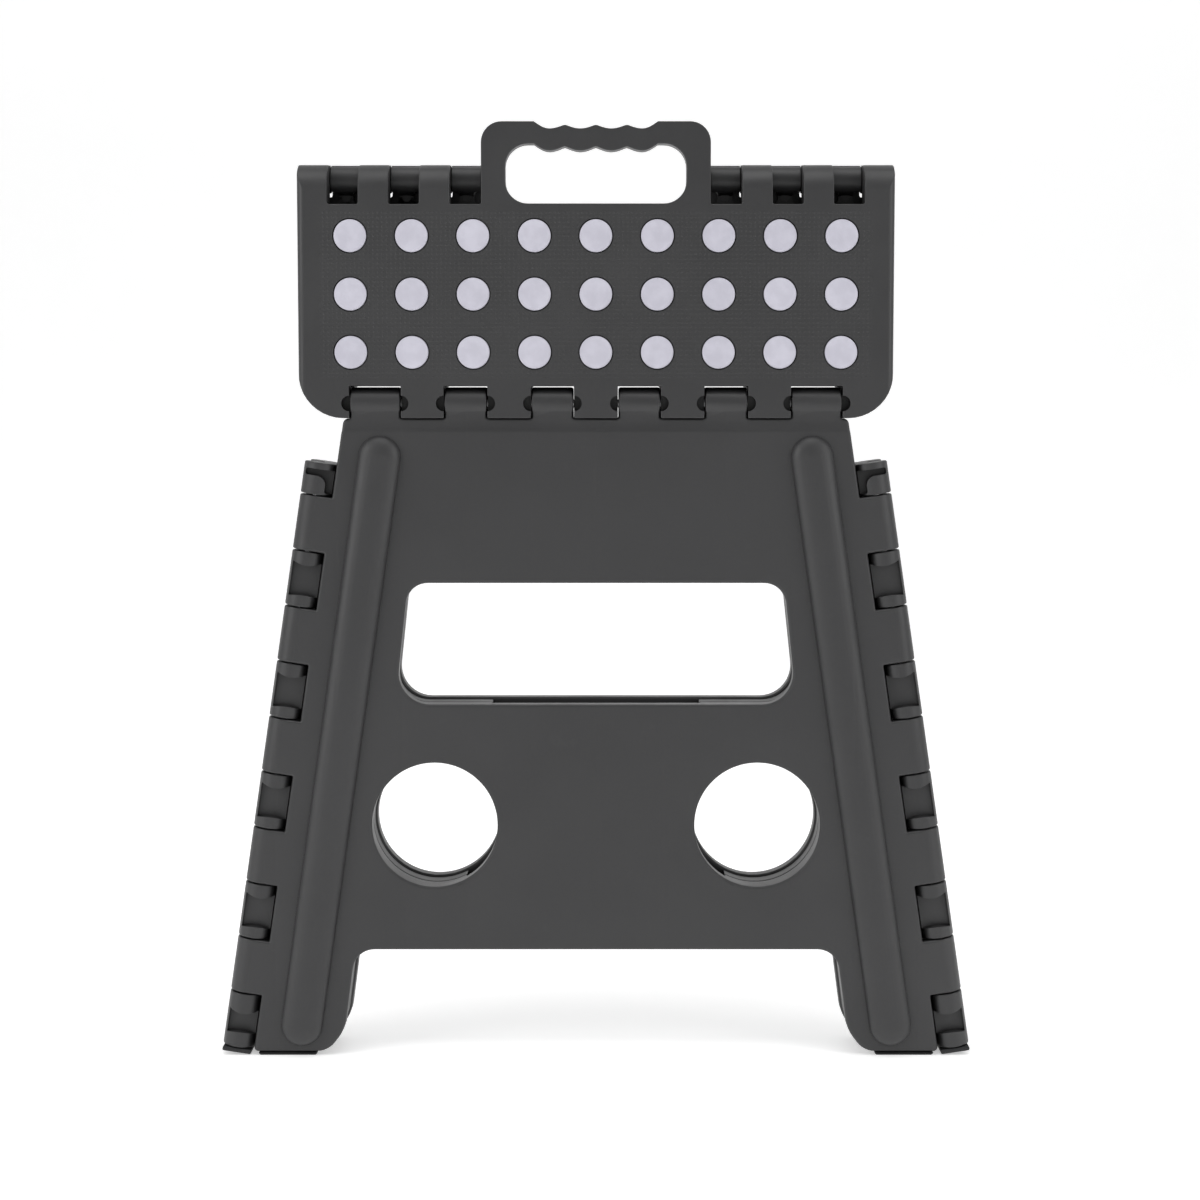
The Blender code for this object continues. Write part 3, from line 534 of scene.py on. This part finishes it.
# %% The tread's field of fine pins
PIN_PITCH = 0.0022
FIELD_HALF_WIDTH = TOP_HALF_WIDTH - 0.011
FIELD_LOW, FIELD_HIGH = LEG_HINGE_Z + 0.0125, TOP_ROW_Z + 0.0125


def pin_field(start, place, under):
    parts = [start.make("ShaderNodeSeparateXYZ", {}, {0: place}, out=axis) for axis in "XYZ"]
    x, y, z = parts
    across = start.maths("PINGPONG", x / PIN_PITCH, 0.5)
    up = start.maths("PINGPONG", z / PIN_PITCH, 0.5)
    reach = start.maths("SQRT", across * across + up * up)
    pin = 1 - reach.fade(0.10, 0.30)
    inside = (abs(x) < FIELD_HALF_WIDTH) * (z > FIELD_LOW) * (z < FIELD_HIGH)
    on_face = abs(y) > FACE_DEPTH - 0.0004
    return bump(start, pin * inside * on_face, 0.00022, 0.6, under)


PLASTIC = grey_plastic("dark_grey_plastic")
TREAD_PLASTIC = grey_plastic("dark_grey_tread_plastic", pins=True)
print("plastic for panels and for the tread")

# %% [markdown]
# The dots are a soft, pale rubber with a faint lavender tone, a little dusty in places.
# The feet are a black rubber. The hinge pins are drawn steel, with lines along the wire.

# %% Rubber and steel


def dot_rubber():
    material, start, place, shader = new_finish("pale_dot_rubber", 0.6)
    dust = noise(start, place, 140.0, 4.0, 0.6).fade(0.35, 0.7)
    grime = noise(start, place, 18.0, 3.0).fade(0.35, 0.75)
    tone = (dust * 0.6 + grime * 0.4).mix((0.49, 0.48, 0.55, 1), (0.58, 0.57, 0.645, 1))
    start.feed(shader.inputs["Base Color"], tone)
    start.feed(shader.inputs["Roughness"], 0.50 + dust * 0.18)
    start.feed(shader.inputs["Normal"], bump(start, noise(start, place, 1500.0), 0.00008, 0.5))
    return material


def foot_rubber():
    material, start, place, shader = new_finish("black_foot_rubber", 0.7)
    dust = noise(start, place, 90.0, 5.0, 0.7).fade(0.45, 0.8)
    start.feed(shader.inputs["Base Color"], dust.mix((0.010, 0.010, 0.011, 1), (0.030, 0.029, 0.028, 1)))
    start.feed(shader.inputs["Roughness"], 0.60 + dust * 0.25)
    start.feed(shader.inputs["Normal"], bump(start, noise(start, place, 900.0), 0.0001, 0.5))
    return material


def pin_steel():
    material, start, place, shader = new_finish("hinge_pin_steel", 0.35, 1.0)
    streak = noise(start, place, 400.0, 2.0).fade(0.3, 0.7)
    start.feed(shader.inputs["Base Color"], streak.mix((0.42, 0.42, 0.43, 1), (0.55, 0.55, 0.56, 1)))
    start.feed(shader.inputs["Roughness"], 0.28 + streak * 0.14)
    return material


DOT_RUBBER, FOOT_RUBBER, STEEL = dot_rubber(), foot_rubber(), pin_steel()
print("rubber and steel ready")

# %% [markdown]
# ## The tread
#
# Each half of the tread carries hinge knuckles at both edges. The front half also has the
# carrying handle, with a wavy grip for four fingers. The rear half has a well that the
# handle drops into when the stool is open.

# %% Where the centre hinge's knuckles stand


def centre_knuckles(facing):
    """The x ranges, on the right, of one tread half's centre knuckles."""
    inner = HANDLE_HALF_WIDTH + PLAY
    pitch = (TOP_HALF_WIDTH - inner) / 6
    ranges = []
    for index in range(6):
        outer = TOP_HALF_WIDTH - index * pitch
        if (index % 2 == 0) == (facing < 0):
            below = 0 if index == 5 else CENTRE_PLAY
            above = 0 if index == 0 else CENTRE_PLAY
            ranges.append((outer - pitch + below, outer - above))
    return ranges


def finger_wave(z, deep, shallow):
    """Points under four fingers, from left to right: round dips from z with cusps between."""
    reach, pitch, steps = 0.030, 0.015, 64
    points = []
    for step in range(steps + 1):
        x = -reach + 2 * reach * step / steps
        curve = math.sqrt(math.sin(math.pi * (x + reach) / pitch) ** 2 + 0.01)
        at_end = abs(x) > reach - pitch / 2
        dip = deep * math.sin(math.pi * (reach - abs(x)) / pitch) if at_end else shallow + (deep - shallow) * curve
        points.append((x, z - dip, 0))
    return points


print("front knuckles at", centre_knuckles(-1))

# %% The outline of a tread half


def tread_outline(facing):
    crown = CENTRE_HINGE_Z + CENTRE_RADIUS
    well = HANDLE_HALF_WIDTH + PLAY
    floor = NOTCH_FLOOR if facing < 0 else REAR_NOTCH_FLOOR
    right = []
    for inner, outer in reversed(centre_knuckles(facing)):
        if facing < 0 or right:
            right += [(inner, floor, 0.001), (inner, crown, 0)]
        else:
            right.append((well, crown, 0))
        right.append((outer, crown, 0))
        if outer < TOP_HALF_WIDTH - PLAY:
            right.append((outer, floor, 0.001))
    if facing > 0:
        right.append((TOP_HALF_WIDTH, floor, 0.002))
    right.append((TOP_HALF_WIDTH, TOP_LOW.z, 0.022))
    for inner, outer in reversed(LEG_KNUCKLES):
        inner, outer = inner - PLAY, outer + PLAY
        notch = LEG_HINGE_Z + KNUCKLE_RADIUS + PLAY
        right += [(outer, TOP_LOW.z, 0), (outer, notch, 0), (inner, notch, 0), (inner, TOP_LOW.z, 0)]
    left = [(-x, z, radius) for x, z, radius in reversed(right)]
    if facing < 0:
        corner = (HANDLE_HALF_WIDTH, HANDLE_TOP, 0.010)
        foot = (HANDLE_HALF_WIDTH, NOTCH_FLOOR, 0.0008)
        mirrored = [(-x, z, radius) for x, z, radius in (foot, corner)]
        middle = mirrored + finger_wave(HANDLE_TOP, 0.0034, 0.0015) + [corner, foot]
    else:
        middle = [(-well, WELL_FLOOR, 0.004), (well, WELL_FLOOR, 0.004)]
    return rounded(middle + right + left)


def grip_outline():
    low, high, half, corner = CENTRE_HINGE_Z - 0.0125, CENTRE_HINGE_Z + 0.0161, 0.0439, 0.011
    wave = finger_wave(high, 0.0033, 0.0011)[::-1]
    return rounded([(-half, low, corner), (half, low, corner), (half, high, corner), *wave, (-half, high, corner)])


print(len(tread_outline(-1)), "points round the front half")

# %% [markdown]
# Two long cuts shape each half from the side. One rolls the outer face over the centre
# knuckles. The other clears the back of the lower rim, so that the leg can swing there.

# %% Sections of the rolled crown and of the cleared rim


def quarter(centre_depth, centre_z, radius, start, end, steps=12):
    """Points on an arc in the plane of depth and z, from one angle to another."""
    points = []
    for step in range(steps + 1):
        angle = math.radians(start + (end - start) * step / steps)
        points.append((centre_depth + radius * math.cos(angle), centre_z + radius * math.sin(angle)))
    return points


def crown_profile():
    crown, radius = CENTRE_HINGE_Z + CENTRE_RADIUS, FACE_DEPTH - CENTRE_RADIUS
    arc = quarter(FACE_DEPTH - radius, crown - radius, radius, 90, 0)
    outside = FACE_DEPTH + BEYOND
    return arc + [(outside, crown - radius), (outside, crown + BEYOND), (arc[0][0], crown + BEYOND)]


def rim_profile():
    clear, low = KNUCKLE_RADIUS - 0.0003, LEG_HINGE_Z - 2 * KNUCKLE_RADIUS
    step_z = LEG_HINGE_Z + LEG_THICKNESS - KNUCKLE_RADIUS + HINGE_PLAY
    arc = quarter(HINGE_DEPTH, LEG_HINGE_Z, clear, 180, 270)
    return [(-BEYOND, low), (-BEYOND, step_z), (HINGE_DEPTH - clear, step_z)] + arc + [(HINGE_DEPTH, low)]


# %% Dots, ribs and the half-round reliefs beside the leg knuckles


def dot_places(facing):
    """x and z of each rubber dot; the rear half has none where the handle folds in."""
    places = []
    for row in range(3):
        z = TOP_ROW_Z - row * DOT_ROW_PITCH
        for column in range(-4, 5):
            x = column * DOT_PITCH
            in_well = row == 0 and abs(x) < HANDLE_HALF_WIDTH + DOT_RADIUS + RIB
            if facing < 0 or not in_well:
                places.append((x, z))
    return places


def dot_hole(x, z, facing):
    """A blind hole with a small countersink round its mouth."""
    floor, mouth = FACE_DEPTH - 0.0028, FACE_DEPTH + 0.0002
    return rod((x, facing * floor, z), (x, facing * mouth, z), DOT_RADIUS + 0.00045, 40)


def tread_ribs(facing):
    """The hollows between the ribs on the tread's underside."""
    low = LEG_HINGE_Z + KNUCKLE_RADIUS + PLAY + RIB
    high, shelf = NOTCH_FLOOR - RIB, WELL_FLOOR - RIB
    middle, edge = (low + shelf) / 2, TOP_HALF_WIDTH - RIB
    pitch = edge / 3
    pockets = []
    for index in range(6):
        left, right = -edge + index * pitch + RIB / 2, -edge + (index + 1) * pitch - RIB / 2
        behind_well = facing > 0 and min(abs(left), abs(right)) < HANDLE_HALF_WIDTH + RIB
        for bottom, top in ((low, middle - RIB / 2), (middle + RIB / 2, shelf if behind_well else high)):
            corners = [(x, z, 0.002) for x, z in rectangle(left, right, bottom, top)]
            pockets.append(slab([rounded(corners)], -BEYOND, FACE_DEPTH - 0.0042, facing))
    return pockets


def knuckle_reliefs(facing):
    """Half-round nicks in the tread's edge, beside each leg knuckle at the hinge's height."""
    reliefs = []
    for side in (-1, 1):
        for inner, outer in LEG_KNUCKLES:
            for x in (inner - PLAY, outer + PLAY):
                depths = (FACE_DEPTH - 0.0057, FACE_DEPTH + BEYOND)
                ends = [(side * x, facing * depth, LEG_HINGE_Z) for depth in depths]
                reliefs.append(rod(*ends, 0.0038, 24))
    return reliefs


def crown_hollows(facing):
    """Round hollows in the inner face, at both sides of the stem under each centre knuckle."""
    hollows = []
    for side in (-1, 1):
        for inner, outer in centre_knuckles(facing):
            for x in (inner, min(outer, TOP_HALF_WIDTH + BEYOND)):
                if x < TOP_HALF_WIDTH - PLAY:
                    ends = [(side * x, facing * depth, NOTCH_FLOOR + 0.0048) for depth in (-BEYOND, 0.005)]
                    hollows.append(rod(*ends, 0.004, 32))
    return hollows


def crown_bosses(facing):
    """A small round boss on each of those stems."""
    bosses = []
    for side in (-1, 1):
        for inner, outer in centre_knuckles(facing):
            x = side * (inner + outer) / 2
            ends = [(x, facing * depth, NOTCH_FLOOR + 0.0048) for depth in (0.0001, 0.002)]
            bosses.append(rod(*ends, 0.0022, 32))
    return bosses


def edge_rounds(facing):
    """What is cut from the upright outer edges to round them."""
    radius, outside = 0.0035, TOP_HALF_WIDTH + BEYOND
    arc = quarter(TOP_HALF_WIDTH - radius, FACE_DEPTH - radius, radius, 0, 90)
    rest = [(arc[-1][0], FACE_DEPTH + BEYOND), (outside, FACE_DEPTH + BEYOND), (outside, arc[0][1])]
    bars = []
    for side in (-1, 1):
        profile = [(side * x, depth) for x, depth in arc + rest]
        bars.append(bar_along_z(profile, TOP_LOW.z - BEYOND, HANDLE_TOP + BEYOND, facing))
    return bars


print(len(dot_places(-1)), "dots at the front,", len(dot_places(1)), "at the rear")

# %% Build the two halves of the tread


def build_tread(end, facing):
    loops = [tread_outline(facing)] + ([grip_outline()] if facing < 0 else [])
    half = gather(f"{end}_tread", [slab(loops, PLAY, FACE_DEPTH, facing)])
    reach = TOP_HALF_WIDTH + BEYOND
    cut(half, [bar_along_x(rim_profile(), -reach, reach, facing)])
    if facing < 0:
        inner = HANDLE_HALF_WIDTH + 0.002
        crowns = [sorted((side * inner, side * reach)) for side in (-1, 1)]
        behind = rectangle(-inner, inner, NOTCH_FLOOR, HANDLE_TOP + BEYOND)
        cut(half, [slab([behind], -BEYOND, FACE_DEPTH - HANDLE_THICKNESS, facing)])
    else:
        crowns = [(-reach, reach)]
    cut(half, [bar_along_x(crown_profile(), *ends, facing) for ends in crowns])
    barrels = []
    for inner, outer in centre_knuckles(facing):
        for side in (-1, 1):
            barrels.append(along_x(side * inner, side * outer, 0, CENTRE_HINGE_Z, CENTRE_RADIUS, facing))
    add(half, barrels)
    cut(half, edge_rounds(facing))
    soften(half, 0.0005)
    cut(half, tread_ribs(facing))
    cut(half, crown_hollows(facing))
    add(half, crown_bosses(facing))
    cut(half, knuckle_reliefs(facing))
    cut(half, [dot_hole(x, z, facing) for x, z in dot_places(facing)])
    finish_piece(half, TREAD_PLASTIC, "dark_grey_plastic", f"{end}_top", f"{end}_top_half")


build_tread("front", -1)
build_tread("rear", 1)

# %% [markdown]
# A dot is a turned shape: a disc with a rounded rim and a face that is very slightly
# crowned. Its profile is spun round the dot's own axis, and the same profile serves every
# place. The dots of one half are moulded together, so they are one piece.

# %% Turn the rubber dots


def dot_mesh(x, z, facing):
    rim, top, floor = 0.0007, FACE_DEPTH + 0.0005, FACE_DEPTH - 0.0026
    radius = DOT_RADIUS - 0.0001
    profile = [(0.0, top), (radius * 0.5, top - 0.00004), (radius - rim, top - 0.00012)]
    profile += quarter(radius - rim, top - 0.00012 - rim, rim, 90, 0, 4)[1:]
    profile += [(radius, floor), (0.0, floor)]
    shape = bmesh.new()
    line = [shape.verts.new((across, 0, height)) for across, height in profile]
    edges = [shape.edges.new(pair) for pair in zip(line, line[1:])]
    bmesh.ops.spin(
        shape,
        geom=line + edges,
        axis=(0, 0, 1),
        cent=(0, 0, 0),
        angle=2 * math.pi,
        steps=40,
        use_merge=True,
    )
    clean(shape)
    shape.transform(Matrix.Translation((x, 0, z)) @ Matrix.Rotation(-facing * math.pi / 2, 4, "X"))
    mesh = bpy.data.meshes.new("dot")
    shape.to_mesh(mesh)
    shape.free()
    return mesh


for end, facing in (("front", -1), ("rear", 1)):
    dots = gather(f"{end}_tread_dots", [dot_mesh(x, z, facing) for x, z in dot_places(facing)])
    finish_piece(dots, DOT_RUBBER, "pale_dot_rubber", f"{end}_top", f"{end}_top_dot_inlay")

# %% [markdown]
# ## The legs
#
# A leg is one wide moulding: a skin with ribs behind it, a hand slot, two round holes and
# an arch between the feet. A long half-round bulge stiffens each side. Its slanted edges
# carry every second knuckle of the side hinges.

# %% Which stretch of a side hinge belongs to which piece


def side_hinge_ranges(of_leg):
    joints = [SIDE_FIRST_JOINT + SIDE_JOINT_PITCH * index for index in range(10)]
    ends = [SIDE_SOLE - HINGE_PLAY / 4] + joints + [SIDE_TOP + HINGE_PLAY / 4]
    pairs = list(zip(ends, ends[1:]))[1 if of_leg else 0 :: 2]
    return [(low + HINGE_PLAY / 4, high - HINGE_PLAY / 4) for low, high in pairs]


def side_centre_ranges(facing):
    ranges = []
    for low, high in SIDE_GROUPS:
        pitch = (high - low) / 4
        for index in range(4):
            if (index % 2 == 0) == (facing < 0):
                base = low + index * pitch
                ranges.append((base + HINGE_PLAY / 2, base + pitch - HINGE_PLAY / 2))
    return ranges


print(len(side_hinge_ranges(True)), "leg knuckles and", len(side_hinge_ranges(False)), "side knuckles")

# %% The leg's outline and its openings


def edge_x(along_z):
    """x of the leg's set-back edge at a height."""
    along = along_z / math.cos(SIDE_SLANT) + SETBACK * math.tan(SIDE_SLANT)
    return beside_hinge(1, SETBACK, along)[0]


def leg_outline():
    right = []
    for inner, outer in LEG_KNUCKLES:
        right += [(inner, LEG_TOP, 0.0008), (inner, LEG_HINGE_Z, 0)]
        right += [(outer, LEG_HINGE_Z, 0), (outer, LEG_TOP, 0.0008)]
    right.append((edge_x(LEG_TOP), LEG_TOP, 0.003))
    for low, high in reversed(side_hinge_ranges(of_leg=True)):
        for along, across in ((high, SETBACK), (high, 0), (low, 0), (low, SETBACK)):
            right.append((*beside_hinge(1, across, along), 0.0006 if across else 0))
    right.append((edge_x(SOLE), SOLE, 0.002))
    right += [(TOE_LOWER[0], SOLE, TOE_LOWER[1]), TOE_UPPER, (0.1196, 0.0534, 0.011)]
    return rounded(both_sides(right))


def slot_outline(margin=0.0, wider=0.0):
    upper, lower = 0.0923 + margin + wider, 0.0988 + margin + wider
    return rounded(both_sides([(upper, 0.236 + margin, 0.011 + margin), (lower, 0.176 - margin, 0.0155 + margin)]))


HOLE_X, HOLE_Z, HOLE_RADIUS = 0.0797, 0.116, 0.031
print(len(leg_outline()), "points round a leg")

# %% The leg's ribs


def slanted_pockets(side, levels):
    inner, outer = SETBACK + 1.5 * RIB, SETBACK + 1.5 * RIB + 0.023
    pockets = []
    for low, high in zip(levels, levels[1:]):
        top = high - RIB
        pockets.append(slanted(side, [(inner, low), (outer, low), (outer, top), (inner, top)]))
    return pockets


def leg_ribs(facing):
    outlines = []
    pitch = (0.1056 - 0.01035) / 3
    waist = HOLE_X - HOLE_RADIUS - 2 * RIB
    for side in (-1, 1):
        for index in range(3):
            xs = sorted((side * (index * pitch + RIB / 2), side * ((index + 1) * pitch - RIB / 2)))
            outlines.append(rectangle(*xs, 0.236 + 2 * RIB, LEG_TOP - 2 * RIB))
        xs = sorted((side * RIB / 2, side * waist))
        outlines.append(rectangle(*xs, 0.0534 + 2 * RIB, 0.176 - 2 * RIB))
        outlines += slanted_pockets(side, (0.063, 0.122, 0.181, 0.241, 0.303))
    return [slab([outline], LEG_INNER - BEYOND, FACE_DEPTH - LEG_SKIN, facing) for outline in outlines]


def neck_profile():
    """Section of the shallow step in the outer face, just under the leg's knuckles."""
    inside, outside = FACE_DEPTH - 0.0012, FACE_DEPTH + BEYOND
    foot = (FACE_DEPTH, 0.3098)
    return [foot, (outside, foot[1]), (outside, LEG_HINGE_Z + PLAY), (inside, LEG_HINGE_Z + PLAY), (inside, 0.3114)]


# %% Build the two legs


def build_leg(end, facing):
    holes = [circle(side * HOLE_X, HOLE_Z, HOLE_RADIUS) for side in (-1, 1)]
    slot = slot_outline(wider=0 if facing < 0 else 0.0015)
    leg = gather(f"{end}_leg", [slab([leg_outline(), slot, *holes], LEG_INNER, FACE_DEPTH, facing)])
    cut(leg, [bar_along_x(neck_profile(), -TOP_HALF_WIDTH, TOP_HALF_WIDTH, facing)])
    soften(leg, 0.0013)
    back, lip, above = LEG_INNER - BEYOND, HINGE_DEPTH + 0.0036, LEG_HINGE_Z + BEYOND
    shelf = [(back, LEG_SHELF), (back, above), (lip, above), (lip, LEG_SHELF)]
    cut(leg, [bar_along_x(shelf, -TOP_HALF_WIDTH, TOP_HALF_WIDTH, facing)])
    barrels = []
    radius = KNUCKLE_RADIUS - BARREL_INSET
    for side in (-1, 1):
        for inner, outer in LEG_KNUCKLES:
            barrels.append(along_x(side * inner, side * outer, HINGE_DEPTH, LEG_HINGE_Z, radius, facing))
        for low, high in side_hinge_ranges(of_leg=True):
            ends = (low + BARREL_INSET, high - BARREL_INSET)
            barrels.append(along_slant(side, 0, HINGE_DEPTH, *ends, radius, facing))
    knuckles = gather("knuckles", barrels)
    soften(knuckles, 0.0008, segments=2)
    add(leg, [knuckles.data.copy()])
    bpy.data.objects.remove(knuckles)
    domes = []
    for side in (-1, 1):
        start, stop = (side * 0.1056, 0.2975), (side * 0.1464, 0.0155)
        domes.append(long_dome(start, stop, 0.01035, 0.0055, facing))
    add(leg, domes)
    cut(leg, leg_ribs(facing))
    finish_piece(leg, PLASTIC, "dark_grey_plastic", f"{end}_leg", f"{end}_leg_panel")


build_leg("front", -1)
build_leg("rear", 1)

# %% [markdown]
# ## The side halves
#
# Each side folds inward on its own centre hinge. Its knuckles at the leg are hollow: an
# open window in the outer face leaves two cheeks and a thin outer wall. The half is cut
# away behind the leg's slot, hole and arch, so that nothing shows through them.

# %% The outline of a side half and its openings


def side_half_outline(side, facing):
    corners = []
    ranges = side_hinge_ranges(of_leg=False)
    setback = SETBACK + PLAY
    for index, (low, high) in enumerate(ranges):
        if index:
            corners.append((setback, low))
        corners += [(0, low), (0, high)]
        if index < len(ranges) - 1:
            corners.append((setback, high))
    edge = FOLD_LENGTH - 0.0085
    corners.append((edge, SIDE_TOP))
    for low, high in reversed(side_centre_ranges(facing)):
        corners += [(edge, high), (FOLD_LENGTH, high), (FOLD_LENGTH, low), (edge, low)]
    corners += [(edge, SIDE_GROUPS[0][0]), (edge, SIDE_SOLE)]
    return slanted(side, corners)


def side_openings(side, facing):
    margin, reach = 0.001, (-FACE_DEPTH, FACE_DEPTH)
    arch_corners = [
        (0.1196 + margin, 0.0534 + margin, 0.011),
        (TOE_UPPER[0] + margin, *TOE_UPPER[1:]),
        (TOE_LOWER[0], SIDE_SOLE, TOE_LOWER[1]),
        (0.168, SIDE_SOLE, 0),
        (0.168, -0.0534, 0),
    ]
    outlines = [
        slot_outline(margin, 2 * margin),
        circle(side * HOLE_X, HOLE_Z, HOLE_RADIUS + margin),
        rounded(both_sides(arch_corners)),
    ]
    return [slab([outline], *reach, facing) for outline in outlines]


def cheek(wall, edge, height, bulge):
    """Across and along of a knuckle's cheek where it meets the window, bulging into it."""
    points = []
    for step in range(13):
        part = step / 12
        points.append((wall + (edge - wall) * part, height + bulge * math.sin(math.pi * part)))
    return points


def knuckle_windows(side, facing):
    """The dark window in each side knuckle, between its two cheeks."""
    wall, edge, inner = 0.0016 - KNUCKLE_RADIUS, KNUCKLE_RADIUS, KNUCKLE_RADIUS + BEYOND
    ranges = side_hinge_ranges(of_leg=False)
    windows = []
    for index, (low, high) in enumerate(ranges):
        if index == len(ranges) - 1:
            top, bottom, shelf = high - 0.0033, low + 0.0012, high - 0.0066
            corners = [(wall, top, 0.001), (inner, top, 0), (inner, bottom, 0), (0.0042, bottom, 0.001)]
            corners += [(0.0042, shelf, 0.0045), (wall, shelf, 0.001)]
            outline = rounded(corners)
        else:
            bottom, top = (low + 0.0070, high - 0.0085) if index == 0 else (low + 0.0050, high - 0.0052)
            outline = cheek(wall, edge, bottom, 0.0009) + [(inner, bottom), (inner, top)]
            outline += cheek(wall, edge, top, -0.0017)[::-1]
        windows.append(slab([slanted(side, outline)], FACE_DEPTH - 0.0057, FACE_DEPTH + BEYOND, facing))
    return windows


def side_ribs(side, facing):
    low, high = 0.236 / math.cos(SIDE_SLANT) + 0.020, SIDE_TOP - RIB
    first, last = SETBACK + 2 * RIB, FOLD_LENGTH - 0.0085 - 2 * RIB
    pitch = (last - first) / 3
    outlines = slanted_pockets(side, (0.063, 0.122, 0.181, 0.241))
    for index in range(3):
        inner, outer = first + index * pitch, first + (index + 1) * pitch - RIB
        outlines.append(slanted(side, [(inner, low), (outer, low), (outer, high), (inner, high)]))
    return [slab([outline], SIDE_INNER + 0.003, SIDE_OUTER + BEYOND, facing) for outline in outlines]


# %% Build the four side halves


def build_side_half(word, side, end, facing):
    half = gather(f"{word}_{end}_side", [slab([side_half_outline(side, facing)], SIDE_INNER, SIDE_OUTER, facing)])
    for opening in side_openings(side, facing):
        cut(half, [opening])
    soften(half, 0.0008, segments=2)
    barrels = []
    for low, high in side_hinge_ranges(of_leg=False):
        ends = (low + BARREL_INSET, high - BARREL_INSET)
        barrels.append(along_slant(side, 0, HINGE_DEPTH, *ends, KNUCKLE_RADIUS - BARREL_INSET, facing))
    for low, high in side_centre_ranges(facing):
        ends = (low + BARREL_INSET, high - BARREL_INSET)
        barrels.append(along_slant(side, FOLD_LENGTH, 0, *ends, 0.0072, facing))
    knuckles = gather("knuckles", barrels)
    soften(knuckles, 0.0007, segments=2)
    add(half, [knuckles.data.copy()])
    bpy.data.objects.remove(knuckles)
    cut(half, knuckle_windows(side, facing))
    cut(half, side_ribs(side, facing))
    finish_piece(half, PLASTIC, "dark_grey_plastic", f"{word}_{end}_side", f"{word}_{end}_side_half")


for word, side in (("left", -1), ("right", 1)):
    for end, facing in (("front", -1), ("rear", 1)):
        build_side_half(word, side, end, facing)

# %% [markdown]
# ## Feet and hinge pins
#
# Each foot is a rubber pad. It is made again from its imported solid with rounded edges.
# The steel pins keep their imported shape, which is right, and only get the steel finish.

# %% Feet and pins
for node in frame["nodes"].values():
    body = node["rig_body"]
    if node.name.endswith("_foot"):
        pad = gather(f"{node.name}_pad", [node.data.copy()])
        soften(pad, 0.0007, segments=2)
        finish_piece(pad, FOOT_RUBBER, "black_foot_rubber", body, node.name)
    elif node.name.endswith("_pin"):
        node.data.materials.clear()
        node.data.materials.append(STEEL)

# %% [markdown]
# ## Camera, floor and light
#
# The stool stands on a pale floor that runs up behind it. The camera looks at it straight
# from the front, from just above the hand slot, and tips down a little. Two large soft
# lights at the sides pick out the rounded edges, and one above gives the floor its shadow.

# %% Camera
camera_data = bpy.data.cameras.new("camera")
camera_data.lens = 72
camera_data.sensor_width = 36
camera = bpy.data.objects.new("camera", camera_data)
camera.location = (0.0020, -1.193, 0.3254)
camera.rotation_euler = (math.radians(90 - 4.76), 0, 0)
bpy.context.scene.collection.objects.link(camera)
bpy.context.scene.camera = camera

# %% Floor
FLOOR_SIZE, WALL_Y, WALL_HEIGHT, SWEEP = 12.0, 3.0, 6.0, 1.5


def floor_mesh():
    """A sheet that lies on the floor, bends up in a quarter circle and rises behind."""
    line = [(-6.0, 0.0)]
    for step in range(25):
        angle = math.pi / 2 * step / 24
        line.append((WALL_Y - SWEEP + SWEEP * math.sin(angle), SWEEP - SWEEP * math.cos(angle)))
    line.append((WALL_Y, WALL_HEIGHT))
    shape = bmesh.new()
    rows = [[shape.verts.new((x, y, z)) for x in (-FLOOR_SIZE / 2, FLOOR_SIZE / 2)] for y, z in line]
    for near, far in zip(rows, rows[1:]):
        shape.faces.new((near[0], near[1], far[1], far[0]))
    mesh = bpy.data.meshes.new("floor")
    shape.to_mesh(mesh)
    shape.free()
    mesh.shade_smooth()
    return mesh


floor = bpy.data.objects.new("floor", floor_mesh())
bpy.context.scene.collection.objects.link(floor)
floor_finish, start, place, shader = new_finish("pale_floor", 0.55)
shader.inputs["Emission Color"].default_value = (1, 1, 1, 1)
shader.inputs["Emission Strength"].default_value = 0.43
haze = noise(start, place, 3.0, 2.0)
start.feed(shader.inputs["Base Color"], haze.mix((0.90, 0.90, 0.90, 1), (0.93, 0.93, 0.93, 1)))
floor.data.materials.append(floor_finish)

# %% Lights


def soft_light(name, place, target, width, height, power):
    data = bpy.data.lights.new(name, "AREA")
    data.shape, data.size, data.size_y, data.energy = "RECTANGLE", width, height, power
    light = bpy.data.objects.new(name, data)
    light.location = place
    aim = Vector(target) - Vector(place)
    light.rotation_euler = aim.to_track_quat("-Z", "Y").to_euler()
    bpy.context.scene.collection.objects.link(light)


MIDDLE = (0, 0, 0.23)
soft_light("left_light", (-1.6, -0.9, 1.0), MIDDLE, 1.0, 1.6, 15)
soft_light("right_light", (1.6, -0.9, 1.0), MIDDLE, 1.0, 1.6, 12)
soft_light("top_light", (0, -0.5, 2.2), MIDDLE, 1.8, 1.4, 16)
world = bpy.data.worlds.new("studio")
world.use_nodes = True
world.node_tree.nodes["Background"].inputs["Color"].default_value = (1, 1, 1, 1)
world.node_tree.nodes["Background"].inputs["Strength"].default_value = 0.28
bpy.context.scene.world = world
bpy.context.scene.view_settings.view_transform = "Standard"
print("camera, floor and three lights")

# %% Update the view layer
bpy.context.view_layer.update()
